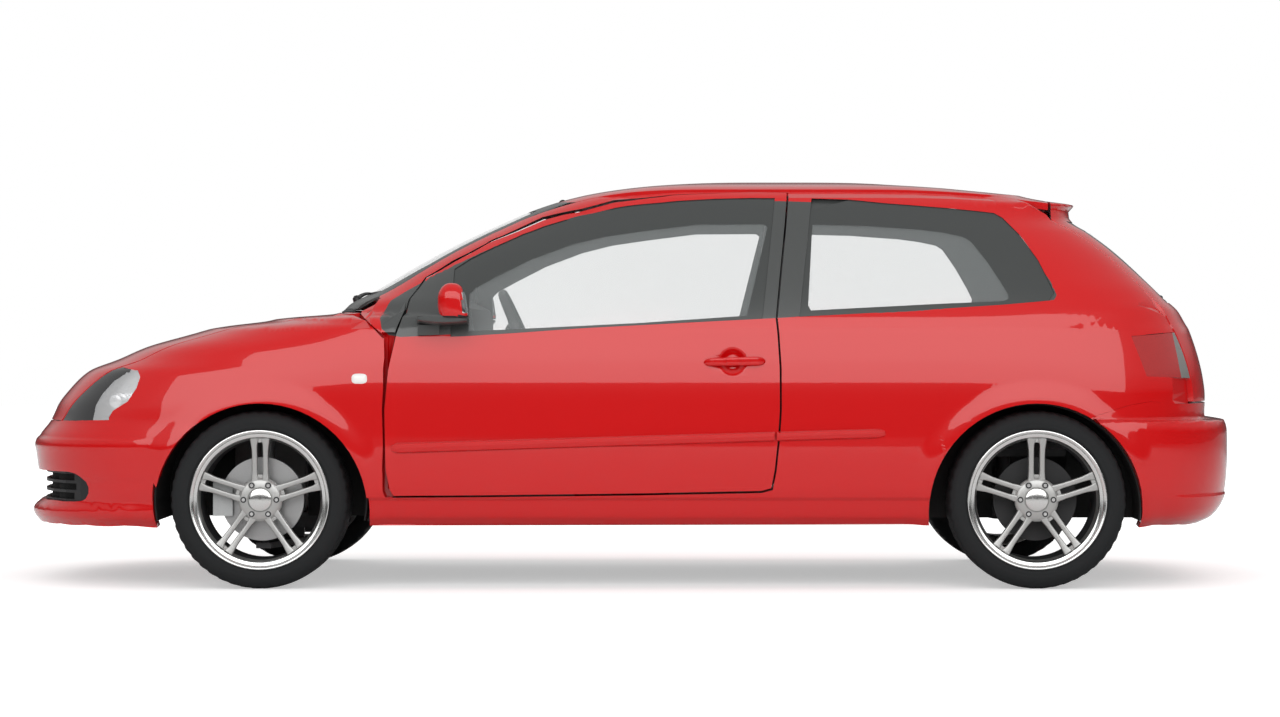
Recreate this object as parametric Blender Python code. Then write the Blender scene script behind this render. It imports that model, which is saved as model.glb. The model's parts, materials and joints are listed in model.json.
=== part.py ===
"""A three-door hatchback car, built as separate panels, glass, lamps, wheels and running gear.

Metres, +Z up. The nose points to -X, the car's left side is at -Y, and the wheels stand on Z = 0.
Outlines are tables of shares: a station share runs 0 to 1 from the nose to the front axle, 1 to 2 between
the axles and 2 to 3 from the rear axle to the tail; a level share runs 0 to 1 from the ground to the belt line
and 1 to 2 from there to the roof; a width share is a part of the body's half width.
"""
import math

import bpy
import bmesh
from mathutils import Matrix, Vector

# Driving dimensions
FRONT_OVERHANG = 0.8854
WHEELBASE = 2.6855
REAR_OVERHANG = 0.7311
BODY_WIDTH = 1.76
HEIGHT = 1.433
BELT_HEIGHT = 0.90
HALF_WIDTH = BODY_WIDTH / 2
NOSE_X = -(FRONT_OVERHANG + WHEELBASE + REAR_OVERHANG) / 2
FRONT_AXLE_X = NOSE_X + FRONT_OVERHANG
REAR_AXLE_X = FRONT_AXLE_X + WHEELBASE

# Clearances
SEAT_GAP = 0.0003
DOOR_GAP = 0.007
LID_GAP = 0.0065
ROOF_GAP = 0.010
OVERRUN = 0.3
WELD = 0.000001
TIDY_ANGLES = (2.0, 1.5, 1.0, 0.6, 0.3, 0.1, 0.03)

# Wheels
TYRE_RADIUS = 0.308
TYRE_WIDTH = 0.225
TYRE_SHOULDER = 0.022
TRACK = 1.47
RIM_RADIUS = 0.2415
RIM_WELL_RADIUS = 0.205
RIM_WALL = 0.008
RIM_LIP = 0.026
SPOKE_COUNT = 5
SPOKE_BAR_WIDTH = 0.018
SPOKE_SLOT = 0.020
SPOKE_DEPTH = 0.030
SPOKE_FACE_Y = TRACK / 2 + 0.087
HUB_RADIUS = 0.076
CAP_RADIUS = 0.040
DISC_RADIUS = 0.145
DISC_WIDTH = 0.024
DISC_FACE_Y = TRACK / 2 + 0.010
SPINDLE_RADIUS = 0.045
SPINDLE_END_Y = TRACK / 2 - 0.020

# Wheel arches
ARCH_RADIUS = 0.370
ARCH_DROP = 0.036
ARCH_SHIFT = 0.0058
ARCH_SIDES = 64
LINER_WALL = 0.006
LINER_OUTER_Y = HALF_WIDTH - 0.080
FRONT_LINER_OUTER_Y = HALF_WIDTH - 0.088
STEERED_TYRE_OUTER_Y = HALF_WIDTH - 0.065
FRONT_LINER_INNER_Y = TRACK / 2 - 0.290
REAR_LINER_INNER_Y = TRACK / 2 - 0.150
LINER_FOOT_Z = 0.235
LINER_WINDOW = 0.26
LINER_WINDOW_TOP = 0.50

# Panel thicknesses
SKIN = 0.012
FENDER_LIP = 0.052
LIP_BAND = 0.045
DOOR_DEPTH = 0.105
DOOR_SKIN = 0.026
FRAME_DEPTH = 0.045
QUARTER_DEPTH = 0.085
ROOF_DEPTH = 0.024
HOOD_DEPTH = 0.016
BUMPER_DEPTH = 0.050
TAILGATE_DEPTH = 0.045
GLASS = 0.005
GLASS_SET = 0.003
LAMP_DEPTH = 0.10

# Floor and sills
UNDERSIDE_Z = 0.2165
SILL_INNER_Y = HALF_WIDTH - 0.180
FLOOR_Z = 0.228
FLOOR_SHEET = 0.025
SILL_TOP_LEVEL_SHARE = 0.40

# Hinges
HINGE_PIN = 0.006
HINGE_LENGTH = 0.030
DOOR_HINGE_BACK = 0.028
DOOR_HINGE_IN = 0.0245
DOOR_POCKET = 0.041

# Body form: the centre line's nose and tail, the half width and the caps' depths against the level
NOSE_SHARES = (
    (0.2233, 0.0373), (0.2856, 0.0011), (0.3333, 0.0418), (0.4000, 0.0395), (0.4300, 0.0271),
    (0.5178, 0.0147), (0.5400, 0.0102), (0.5817, 0.0282), (0.6333, 0.0689), (0.7044, 0.1050),
    (0.7589, 0.1491), (0.8089, 0.1988), (0.8361, 0.2383), (0.8767, 0.3490), (0.9289, 0.4778),
    (0.9744, 0.6438), (1.0188, 0.8109), (1.0535, 0.9770), (1.0741, 1.0200), (1.1032, 1.0840),
    (1.1707, 1.1021), (1.2402, 1.1294), (1.4053, 1.1842), (1.5572, 1.2393), (1.6886, 1.2940),
    (1.8068, 1.3488), (1.8893, 1.4042), (1.9381, 1.4586), (1.9794, 1.5409), (1.9962, 1.6232),
    (2.0000, 1.6649),
)
TAIL_SHARES = (
    (0.2233, 2.8208), (0.2656, 2.9248), (0.3133, 2.9692), (0.3556, 2.9877), (0.4572, 2.9986),
    (0.5472, 2.9993), (0.5956, 2.9986), (0.6406, 2.9836), (0.6496, 2.8954), (0.6607, 2.8892),
    (0.7367, 2.8906), (0.8018, 2.8817), (0.8722, 2.8632), (0.9833, 2.8201), (1.0113, 2.8058),
    (1.1212, 2.7545), (1.1895, 2.6977), (1.2795, 2.6321), (1.5178, 2.4515), (1.6360, 2.3421),
    (1.7411, 2.2340), (1.7842, 2.2313), (1.8265, 2.2559), (1.8548, 2.1260), (1.8818, 2.0256),
    (1.9169, 1.9520), (1.9447, 1.8973), (1.9653, 1.8425), (1.9859, 1.7874), (1.9925, 1.7327),
    (2.0000, 1.6649),
)
WIDTH_SHARES = (
    (0.2389, 0.9091), (0.2778, 0.9489), (0.3222, 0.9659), (0.3889, 0.9864), (0.5556, 1.0000),
    (0.7222, 0.9977), (0.8667, 0.9864), (0.9778, 0.9659), (1.0563, 0.9489), (1.1876, 0.9148),
    (1.3752, 0.8580), (1.5629, 0.7955), (1.7505, 0.7216), (1.8630, 0.6648), (1.9006, 0.6307),
    (1.9381, 0.5682), (1.9568, 0.5114), (1.9756, 0.4091), (1.9906, 0.2841), (1.9991, 0.1136),
    (2.0000, 0.0100),
)
NOSE_CAP_SHARES = (
    (0.22, 1.14), (0.55, 1.36), (0.83, 1.30), (1.0, 1.25), (1.19, 1.25), (1.56, 1.05),
    (1.75, 0.90), (1.90, 0.68), (2.0, 0.30),
)
TAIL_CAP_SHARES = ((0.22, 1.37), (0.90, 1.50), (1.19, 1.45), (1.56, 1.37), (1.75, 1.30), (1.90, 1.0), (2.0, 0.4))
NOSE_SQUARENESS_SHARES = ((0.22, 3.1), (0.80, 3.3), (1.0, 4.2), (1.2, 5.0), (2.0, 5.0))
TAIL_SQUARENESS_SHARES = ((0.22, 4.0), (1.0, 4.2), (1.3, 5.0), (2.0, 5.0))

# Outlines seen from the side, as station and level shares
DOOR_SHARES = (
    (1.1898, 1.1932), (1.1752, 0.9711), (1.1663, 0.8411), (1.1618, 0.6878), (1.1633, 0.4578),
    (1.1682, 0.3828), (1.1726, 0.3600), (1.2832, 0.3622), (1.4962, 0.3700), (1.6452, 0.3789),
    (1.6578, 0.3889), (1.6622, 0.4589), (1.6665, 0.5867), (1.6686, 0.6878), (1.6686, 0.8478),
    (1.6664, 0.9767), (1.6645, 1.0657), (1.6873, 1.8880), (1.6400, 1.8930), (1.5361, 1.8740),
    (1.4540, 1.8290), (1.3600, 1.7120), (1.2905, 1.5640), (1.2435, 1.4330), (1.2065, 1.3250),
)
DOOR_WINDOW_SHARES = (
    (1.2460, 0.9680), (1.2627, 0.9700), (1.3316, 0.9828), (1.4124, 1.0000),
    (1.6470, 1.0650), (1.6650, 1.8600), (1.6362, 1.8612), (1.5863, 1.8574), (1.5361, 1.8405),
    (1.4862, 1.8124), (1.4564, 1.7917), (1.4098, 1.7411), (1.3633, 1.6698), (1.3287, 1.6013),
    (1.2940, 1.5216), (1.2680, 1.4597), (1.2475, 1.3884),
)
QUARTER_WINDOW_SHARES = (
    (1.6940, 1.0750), (1.8280, 1.1107), (1.9609, 1.1548), (2.0644, 1.1801), (2.0877, 1.2300),
    (2.0220, 1.4390), (1.9825, 1.6173), (1.9628, 1.7317), (1.9516, 1.7617), (1.8846, 1.7917),
    (1.8090, 1.8236), (1.7617, 1.8499), (1.7130, 1.8590),
)
HEADLAMP_SHARES = (
    (0.2010, 0.6478), (0.2891, 0.7589), (0.3851, 0.8322), (0.4393, 0.8444), (0.5094, 0.8356),
    (0.5218, 0.8122), (0.5094, 0.7711), (0.4755, 0.7189), (0.4134, 0.6822), (0.3964, 0.6567),
)
TAIL_LAMP_SHARES = ((2.4522, 0.9700), (2.6936, 0.9856), (2.7620, 0.8067), (2.5240, 0.8156))
FRONT_SEAM_SHARES = ((-0.20, 0.6333), (0.0011, 0.6333), (0.3964, 0.6470), (0.5771, 0.6528), (0.7353, 0.6378),
                     (0.82, 0.6300))
REAR_SEAM_SHARES = ((2.00, 0.4000), (2.2400, 0.4500), (2.2614, 0.6622), (2.4378, 0.7061), (2.5473, 0.7194), (2.65, 0.7089), (3.2, 0.7089))

# Outlines seen from the front and behind, as width and level shares
WINDSCREEN_EDGE_SHARES = ((1.06, 0.700), (1.19, 0.715), (1.47, 0.655), (1.75, 0.590), (1.86, 0.565))
TAILGATE_EDGE_SHARES = ((0.60, 0.735), (1.06, 0.735), (1.19, 0.720), (1.38, 0.680), (1.56, 0.645),
                        (1.75, 0.610), (1.90, 0.585), (2.06, 0.560))
REAR_GLASS_EDGE_SHARES = ((1.17, 0.610), (1.38, 0.600), (1.56, 0.570), (1.72, 0.535))
HOOD_EDGE_SHARES = ((0.63, 0.620), (0.76, 0.676), (0.83, 0.705), (0.88, 0.740), (1.0, 0.750), (1.11, 0.765))
ROOF_HALF_WIDTH_SHARE = 0.596
TAILGATE_TOP_STATION_SHARE = 2.106
TAILGATE_FOOT_LEVEL_SHARE = 0.7089
WINDSCREEN_TOP_LEVEL_SHARE = 1.838
WINDSCREEN_FOOT_LEVEL_SHARE = 1.13


def station(share):
    """X of a station share."""
    if share < 1:
        return NOSE_X + share * FRONT_OVERHANG
    if share < 2:
        return FRONT_AXLE_X + (share - 1) * WHEELBASE
    return REAR_AXLE_X + (share - 2) * REAR_OVERHANG


def level(share):
    """Z of a level share."""
    if share < 1:
        return share * BELT_HEIGHT
    return BELT_HEIGHT + (share - 1) * (HEIGHT - BELT_HEIGHT)


def level_share(z):
    """Level share of a height."""
    if z < BELT_HEIGHT:
        return z / BELT_HEIGHT
    return 1 + (z - BELT_HEIGHT) / (HEIGHT - BELT_HEIGHT)


def smooth_curve(points):
    """A cubic through the points that never overshoots them, as a function."""
    xs = [p[0] for p in points]
    ys = [p[1] for p in points]
    steps = [(ys[i + 1] - ys[i]) / (xs[i + 1] - xs[i]) for i in range(len(xs) - 1)]
    slopes = [steps[0]]
    for before, after in zip(steps, steps[1:]):
        slopes.append(0 if before * after <= 0 else 2 * before * after / (before + after))
    slopes.append(steps[-1])

    def value(x):
        if x <= xs[0]:
            return ys[0]
        if x >= xs[-1]:
            return ys[-1]
        i = max(k for k in range(len(xs) - 1) if xs[k] <= x)
        span = xs[i + 1] - xs[i]
        t = (x - xs[i]) / span
        return (
            ys[i] * (1 + 2 * t) * (1 - t) ** 2 + slopes[i] * span * t * (1 - t) ** 2
            + ys[i + 1] * t * t * (3 - 2 * t) + slopes[i + 1] * span * t * t * (t - 1)
        )

    return value


NOSE_LINE = smooth_curve(NOSE_SHARES)
TAIL_LINE = smooth_curve(TAIL_SHARES)
WIDTH_LINE = smooth_curve(WIDTH_SHARES)
NOSE_CAP = smooth_curve(NOSE_CAP_SHARES)
TAIL_CAP = smooth_curve(TAIL_CAP_SHARES)
NOSE_SQUARENESS = smooth_curve(NOSE_SQUARENESS_SHARES)
TAIL_SQUARENESS = smooth_curve(TAIL_SQUARENESS_SHARES)
WINDSCREEN_EDGE = smooth_curve(WINDSCREEN_EDGE_SHARES)
TAILGATE_EDGE = smooth_curve(TAILGATE_EDGE_SHARES)
REAR_GLASS_EDGE = smooth_curve(REAR_GLASS_EDGE_SHARES)
HOOD_EDGE = smooth_curve(HOOD_EDGE_SHARES)


def caps(z):
    """Nose and tail caps of the plan contour at a height: end x, depth and squareness of each."""
    share = level_share(z)
    nose, tail = station(NOSE_LINE(share)), station(TAIL_LINE(share))
    room = tail - nose
    nose_depth = min(NOSE_CAP(share) * FRONT_OVERHANG, room * 0.48)
    tail_depth = min(TAIL_CAP(share) * REAR_OVERHANG, room * 0.48)
    return (nose, nose_depth, NOSE_SQUARENESS(share)), (tail, tail_depth, TAIL_SQUARENESS(share))


def half_width(z):
    """Half width of the plan contour at a height."""
    return WIDTH_LINE(level_share(z)) * HALF_WIDTH


def fullness(x, y, z):
    """Below zero inside the body's form, zero on it, above zero outside."""
    (nose, nose_depth, nose_power), (tail, tail_depth, tail_power) = caps(z)
    if x < nose + nose_depth:
        reach, power = (nose + nose_depth - x) / nose_depth, nose_power
    elif x > tail - tail_depth:
        reach, power = (x - tail + tail_depth) / tail_depth, tail_power
    else:
        reach, power = 0, nose_power
    return reach ** power + (abs(y) / half_width(z)) ** power - 1


def side_y(x, z):
    """Half width of the body at a place along it."""
    (nose, nose_depth, nose_power), (tail, tail_depth, tail_power) = caps(z)
    if x < nose + nose_depth:
        reach, power = (nose + nose_depth - x) / nose_depth, nose_power
    elif x > tail - tail_depth:
        reach, power = (x - tail + tail_depth) / tail_depth, tail_power
    else:
        return half_width(z)
    return half_width(z) * max(0, 1 - reach ** power) ** (1 / power)


def nose_x(y, z):
    """X of the body's front at a place across it."""
    (nose, depth, power), _ = caps(z)
    return nose + depth * (1 - max(0, 1 - (abs(y) / half_width(z)) ** power) ** (1 / power))


def tail_x(y, z):
    """X of the body's rear at a place across it."""
    _, (tail, depth, power) = caps(z)
    return tail - depth * (1 - max(0, 1 - (abs(y) / half_width(z)) ** power) ** (1 / power))


def crossing(form, low, high):
    """Where a function that grows from below zero at low crosses zero."""
    for _ in range(34):
        middle = (low + high) / 2
        if form(middle) < 0:
            low = middle
        else:
            high = middle
    return (low + high) / 2


def top_z(x, y):
    """Height of the body's upper surface over a point of the plan."""
    return crossing(lambda z: fullness(x, y, z), level(0.62), HEIGHT)


def polar_point(x, angle, centre_z):
    """Point of the body's section at x, seen from its middle under an angle above the horizontal."""
    across, up = math.cos(angle), math.sin(angle)

    def form(reach):
        z = centre_z + reach * up
        return 1 if z >= HEIGHT else fullness(x, reach * across, z)

    reach = crossing(form, 0, HEIGHT)
    return Vector((x, -reach * across, centre_z + reach * up))


def inward(point, depth):
    """The point moved into the body along the form's own normal."""
    probe = SKIN / 6
    x, y, z = point
    z = min(z, HEIGHT - 2 * probe)
    slope = Vector((
        fullness(x + probe, y, z) - fullness(x - probe, y, z),
        fullness(x, y + probe, z) - fullness(x, y - probe, z),
        fullness(x, y, z + probe) - fullness(x, y, z - probe),
    ))
    return point - slope.normalized() * depth


def spread(low, high, count):
    """Evenly spaced values from low to high."""
    return [low + (high - low) * i / count for i in range(count + 1)]


# Scene collections and materials
for leftover in list(bpy.data.objects):
    bpy.data.objects.remove(leftover, do_unlink=True)
CAR = bpy.data.collections.new("three_door_hatchback")
CUTTERS = bpy.data.collections.new("cutters")
bpy.context.scene.collection.children.link(CAR)
bpy.context.scene.collection.children.link(CUTTERS)


def material(name, colour, roughness, metallic=0.0, alpha=1.0):
    """A Principled BSDF material."""
    made = bpy.data.materials.new(name)
    made.use_nodes = True
    shader = made.node_tree.nodes["Principled BSDF"]
    shader.inputs["Base Color"].default_value = (*colour, 1.0)
    shader.inputs["Roughness"].default_value = roughness
    shader.inputs["Metallic"].default_value = metallic
    shader.inputs["Alpha"].default_value = alpha
    return made


PAINT = material("red_paint", (0.60, 0.0, 0.0), 0.25)
TRIM = material("black_trim", (0.02, 0.02, 0.022), 0.5)
CABIN = material("grey_cabin", (0.10, 0.10, 0.105), 0.7)
GLAZING = material("glass", (0.8, 0.85, 0.85), 0.05, alpha=0.35)
CLEAR_LAMP = material("clear_lamp", (0.8, 0.8, 0.82), 0.1)
RED_LAMP = material("red_lamp", (0.5, 0.0, 0.0), 0.1)
ALLOY = material("alloy", (0.45, 0.45, 0.46), 0.3, 1.0)
STEEL = material("steel", (0.25, 0.25, 0.26), 0.5, 1.0)
RUBBER = material("tyre_rubber", (0.02, 0.02, 0.022), 0.85)


def new_object(name, bm, look=None, collection=None):
    """An object from a bmesh, linked to the car or to the cutters."""
    mesh = bpy.data.meshes.new(name)
    bmesh.ops.recalc_face_normals(bm, faces=bm.faces[:])
    if bm.calc_volume(signed=True) < 0:
        bmesh.ops.reverse_faces(bm, faces=bm.faces[:])
    bmesh.ops.triangulate(bm, faces=bm.faces[:])
    bm.to_mesh(mesh)
    bm.free()
    made = bpy.data.objects.new(name, mesh)
    if look is None:
        made.hide_render = True
        made.display_type = "WIRE"
        CUTTERS.objects.link(made)
    else:
        mesh.materials.append(look)
        (collection or CAR).objects.link(made)
    return made


def sheet(name, us, vs, place, sink, look):
    """A wall: a grid sheet laid on the body's form and extruded to its inner side."""
    bm = bmesh.new()
    bmesh.ops.create_grid(bm, x_segments=len(us) - 1, y_segments=len(vs) - 1, size=0.5)

    def at(vert):
        column = round((vert.co.x + 0.5) * (len(us) - 1))
        row = round((vert.co.y + 0.5) * (len(vs) - 1))
        return us[column], vs[row]

    outer = {vert: at(vert) for vert in bm.verts}
    result = bmesh.ops.extrude_face_region(bm, geom=bm.faces[:], use_keep_orig=True)
    inner = {item: at(item) for item in result["geom"] if isinstance(item, bmesh.types.BMVert)}
    for vert, (u, v) in outer.items():
        vert.co = place(u, v)
    for vert, (u, v) in inner.items():
        vert.co = sink(place(u, v), u, v)
    return new_object(name, bm, look)


def prism(axis, outline, low, high, name="cutter", look=None, scale=1.0):
    """A flat outline extruded along an axis; its far end may be narrowed about its middle."""
    bm = bmesh.new()
    order = {"x": lambda a, b, c: (c, a, b), "y": lambda a, b, c: (a, c, b), "z": lambda a, b, c: (a, b, c)}[axis]
    middle = [(min(p[0] for p in outline) + max(p[0] for p in outline)) / 2]
    verts = [bm.verts.new(order(a, b, low)) for a, b in outline]
    bm.faces.new(verts)
    result = bmesh.ops.extrude_face_region(bm, geom=bm.faces[:], use_keep_orig=True)
    far = [item for item in result["geom"] if isinstance(item, bmesh.types.BMVert)]
    flat = {"x": (1, 2), "y": (0, 2), "z": (0, 1)}[axis]
    for vert in far:
        a = middle[0] + (vert.co[flat[0]] - middle[0]) * scale
        vert.co = order(a, vert.co[flat[1]], high)
    return new_object(name, bm, look)


def box(low, high, name="cutter", look=None):
    """A box between two corners."""
    bm = bmesh.new()
    size = [b - a for a, b in zip(low, high)]
    middle = [(a + b) / 2 for a, b in zip(low, high)]
    bmesh.ops.create_cube(bm, size=1.0, matrix=Matrix.Translation(middle) @ Matrix.Diagonal((*size, 1)))
    return new_object(name, bm, look)


def rod(start, end, radius, sides=24, name="cutter", look=None, end_radius=None):
    """A round bar between two points."""
    start, end = Vector(start), Vector(end)
    along = end - start
    bm = bmesh.new()
    place = Matrix.Translation((start + end) / 2) @ along.to_track_quat("Z", "Y").to_matrix().to_4x4()
    bmesh.ops.create_cone(
        bm, cap_ends=True, segments=sides, radius1=radius,
        radius2=radius if end_radius is None else end_radius, depth=along.length, matrix=place,
    )
    return new_object(name, bm, look)


def boolean(target, tools, operation):
    """Applies one boolean with all of its tools together and deletes them."""
    group = bpy.data.collections.new("tools")
    for tool in tools:
        for owner in tool.users_collection:
            owner.objects.unlink(tool)
        group.objects.link(tool)
    CUTTERS.children.link(group)
    step = target.modifiers.new("cut", "BOOLEAN")
    step.operation = operation
    step.solver = "EXACT"
    step.operand_type = "COLLECTION"
    step.collection = group
    graph = bpy.context.evaluated_depsgraph_get()
    mesh = bpy.data.meshes.new_from_object(target.evaluated_get(graph))
    target.modifiers.clear()
    look = target.data.materials[0]
    bm = bmesh.new()
    bm.from_mesh(mesh)
    bmesh.ops.remove_doubles(bm, verts=bm.verts[:], dist=WELD)
    bmesh.ops.dissolve_degenerate(bm, edges=bm.edges[:], dist=WELD)
    bm.to_mesh(mesh)
    bm.free()
    target.data = mesh
    mesh.materials.clear()
    mesh.materials.append(look)
    for tool in tools:
        bpy.data.objects.remove(tool, do_unlink=True)
    bpy.data.collections.remove(group)
    return target


def cut(target, *tools):
    """Takes the tools out of the target."""
    return boolean(target, tools, "DIFFERENCE")


def keep(target, tool):
    """Keeps what the target shares with the tool."""
    return boolean(target, [tool], "INTERSECT")


def join(target, *tools):
    """Adds the tools to the target."""
    return boolean(target, tools, "UNION")


def tidy(target):
    """Merges the nearly flat facets that cuts leave behind, as far as the mesh stays closed."""
    for angle in TIDY_ANGLES:
        bm = bmesh.new()
        bm.from_mesh(target.data)
        bmesh.ops.dissolve_limit(bm, angle_limit=math.radians(angle), verts=[], edges=bm.edges[:])
        bmesh.ops.dissolve_limit(
            bm, angle_limit=math.radians(TIDY_ANGLES[-1]), verts=bm.verts[:], edges=bm.edges[:],
        )
        bmesh.ops.triangulate(bm, faces=bm.faces[:])
        closed = all(len(edge.link_faces) == 2 for edge in bm.edges)
        if closed:
            bm.to_mesh(target.data)
        bm.free()
        if closed:
            break
    return target


def mirrored(source, name):
    """The other side's copy of a left piece."""
    bm = bmesh.new()
    bm.from_mesh(source.data)
    bmesh.ops.scale(bm, vec=(1, -1, 1), verts=bm.verts[:])
    bmesh.ops.reverse_faces(bm, faces=bm.faces[:])
    mesh = bpy.data.meshes.new(name)
    bm.to_mesh(mesh)
    bm.free()
    mesh.materials.append(source.data.materials[0])
    made = bpy.data.objects.new(name, mesh)
    CAR.objects.link(made)
    return made


def offset(outline, distance):
    """The outline moved outwards by a distance, corner by corner."""
    area = sum(a[0] * b[1] - b[0] * a[1] for a, b in zip(outline, outline[1:] + outline[:1]))
    side = 1 if area > 0 else -1
    moved = []
    for before, here, after in zip(outline[-1:] + outline[:-1], outline, outline[1:] + outline[:1]):
        one = Vector((here[0] - before[0], here[1] - before[1])).normalized()
        two = Vector((after[0] - here[0], after[1] - here[1])).normalized()
        lean = Vector((one.y + two.y, -one.x - two.x)) * side
        lean *= 1 / max(0.35, (lean.length_squared / 2))
        moved.append((here[0] + lean.x * distance, here[1] + lean.y * distance))
    return moved


def side_outline(shares):
    """An outline seen from the side, from its table."""
    return [(station(s), level(t)) for s, t in shares]


DOOR_OUTLINE = side_outline(DOOR_SHARES)
DOOR_WINDOW = side_outline(DOOR_WINDOW_SHARES)
QUARTER_WINDOW = side_outline(QUARTER_WINDOW_SHARES)
HEADLAMP_OUTLINE = side_outline(HEADLAMP_SHARES)
TAIL_LAMP_OUTLINE = side_outline(TAIL_LAMP_SHARES)
FRONT_SEAM = side_outline(FRONT_SEAM_SHARES)
REAR_SEAM = side_outline(REAR_SEAM_SHARES)
OUTSIDE_Y = -(HALF_WIDTH + OVERRUN)
FRONT_ARCH = (FRONT_AXLE_X + ARCH_SHIFT, TYRE_RADIUS - ARCH_DROP)
REAR_ARCH = (REAR_AXLE_X - ARCH_SHIFT, TYRE_RADIUS - ARCH_DROP)
DOOR_TAPER = 0.93


def door_cutter(gap):
    """The door's plug shape: its outline at the skin, narrowing in length inwards."""
    outline = offset(DOOR_OUTLINE, gap)
    middle = (min(p[0] for p in outline) + max(p[0] for p in outline)) / 2
    wide = 1 + (1 - DOOR_TAPER) * OVERRUN / HALF_WIDTH
    outline = [(middle + (x - middle) * wide, z) for x, z in outline]
    return prism("y", outline, OUTSIDE_Y, 0, scale=DOOR_TAPER / wide)


def arch_cutter(centre, radius, inner_y, outer_y=HALF_WIDTH + OVERRUN):
    """A lying cylinder about a wheel arch's centre, on the left side."""
    return rod((centre[0], -outer_y, centre[1]), (centre[0], -inner_y, centre[1]), radius, ARCH_SIDES)


def below(line, drop, low=-0.1):
    """Outline of the space below a seam."""
    return [(x, z - drop) for x, z in line] + [(line[-1][0], low), (line[0][0], low)]


def above(line, rise, high=2.0):
    """Outline of the space above a seam."""
    return [(x, z + rise) for x, z in line] + [(line[-1][0], high), (line[0][0], high)]


def arch_lip_depth(point, centre, thin, thick):
    """Wall depth that grows to a lip round a wheel arch."""
    reach = math.hypot(point.x - centre[0], point.z - centre[1]) - ARCH_RADIUS
    share = min(1, max(0, (reach - LIP_BAND) / LIP_BAND))
    return thick + (thin - thick) * share


# Places worked out from the sizes above
ROOF_HALF = ROOF_HALF_WIDTH_SHARE * HALF_WIDTH
POLAR_Z = level(0.61)
DOOR_AXIS = (station(1.1618) + DOOR_HINGE_BACK, -(side_y(station(1.1738), level(0.6)) - DOOR_HINGE_IN))
DOOR_HINGE_LEVELS = (0.47, 0.735)
DOOR_DEEP_X = DOOR_AXIS[0] + DOOR_POCKET - SKIN / 2
FENDER_REAR_X = station(1.1618) - DOOR_GAP
PILLAR_FRONT_X = station(1.125)
PILLAR_FACE_X = DOOR_AXIS[0] - DOOR_POCKET - SEAT_GAP
PILLAR_FACE_Y = HALF_WIDTH - 0.060
PILLAR_HEAD_Y = HALF_WIDTH - 0.110
PILLAR_INNER_Y = HALF_WIDTH - 0.220
PILLAR_HEAD_Z = level(0.89)
PILLAR_SEAM = [(station(1.09), level(1.23)), (station(1.105), level(1.17)), (station(1.135), level(1.06)),
               (station(1.159), level(0.962)), (station(1.25), level(0.955))]
PILLAR_FRONT = [
    (NOSE_X, 0), (station(1.141), 0), (station(1.141), level(0.350)), (PILLAR_FRONT_X, level(0.350)),
    (PILLAR_FRONT_X, level(1.02)), (NOSE_X, level(1.02)),
]
HOOD_AXIS = (station(1.144), level(1.085))
HOOD_HINGE_Y = HALF_WIDTH - 0.228
FRONT_LINER = (FRONT_AXLE_X, TYRE_RADIUS)
TAILGATE_AXIS_AHEAD = 0.040
TAILGATE_AXIS_DEEP = 0.0115
TAILGATE_HINGE_Y = HALF_WIDTH * 0.36
TAILGATE_AXIS = (
    station(TAILGATE_TOP_STATION_SHARE) - ROOF_GAP - TAILGATE_AXIS_AHEAD,
    top_z(station(TAILGATE_TOP_STATION_SHARE) - ROOF_GAP - TAILGATE_AXIS_AHEAD, TAILGATE_HINGE_Y) - TAILGATE_AXIS_DEEP,
)
HOOD_FOOT_LEVEL_SHARE = 0.6333
HOOD_REAR_LEVEL_SHARE = 1.1032


def hood_plan(gap):
    """The bonnet's plan outline on the left, widened by a gap, from the nose back past the cowl."""
    edge = []
    for share in spread(HOOD_FOOT_LEVEL_SHARE, HOOD_REAR_LEVEL_SHARE, 14):
        y = HOOD_EDGE(share) * HALF_WIDTH
        edge.append((nose_x(y, level(share)), -(y + gap)))
    back = edge[-1][0] + gap
    edge.append((back, edge[-1][1]))
    return [(NOSE_X - OVERRUN, OVERRUN), (NOSE_X - OVERRUN, edge[0][1])] + edge + [(back, OVERRUN)]


def edge_outline(edge, shares, gap, both=True):
    """An opening's outline across the car: its half width at each level, with a gap all round it."""
    side = [(edge(t) * HALF_WIDTH + gap, level(t)) for t in shares]
    side[0] = (side[0][0], side[0][1] - gap)
    side[-1] = (side[-1][0], side[-1][1] + gap)
    if both:
        return [(-y, z) for y, z in side] + [(y, z) for y, z in reversed(side)]
    return [(-y, z) for y, z in side] + [(OVERRUN, side[-1][1]), (OVERRUN, side[0][1])]


def polar_place(x, angle):
    """A point of the left side's surface."""
    return polar_point(x, angle, POLAR_Z)


def degrees(low, high, count):
    """Evenly spaced angles in radians."""
    return [math.radians(a) for a in spread(low, high, count)]


TAILGATE_BARREL = 0.004
TAILGATE_POCKET_FRONT = 0.014
TAILGATE_POCKET_REAR = 0.027
TAILGATE_ARM = 0.007
TAILGATE_ARM_REACH = 0.052
TAILGATE_ARM_TURNS = (-126, -58)
WINDSCREEN_LEVELS = spread(WINDSCREEN_FOOT_LEVEL_SHARE, WINDSCREEN_TOP_LEVEL_SHARE, 9)
TAILGATE_LEVELS = [
    TAILGATE_FOOT_LEVEL_SHARE + LID_GAP / BELT_HEIGHT, 0.80, 0.90, 1.0, 1.12, 1.25, 1.45, 1.65,
    1.742, 1.784, 1.812, 1.8265, 1.838, 1.852, 1.87, 1.89,
]
REAR_GLASS_LEVELS = (1.17, 1.25, 1.35, 1.45, 1.55, 1.65, 1.72)


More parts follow.
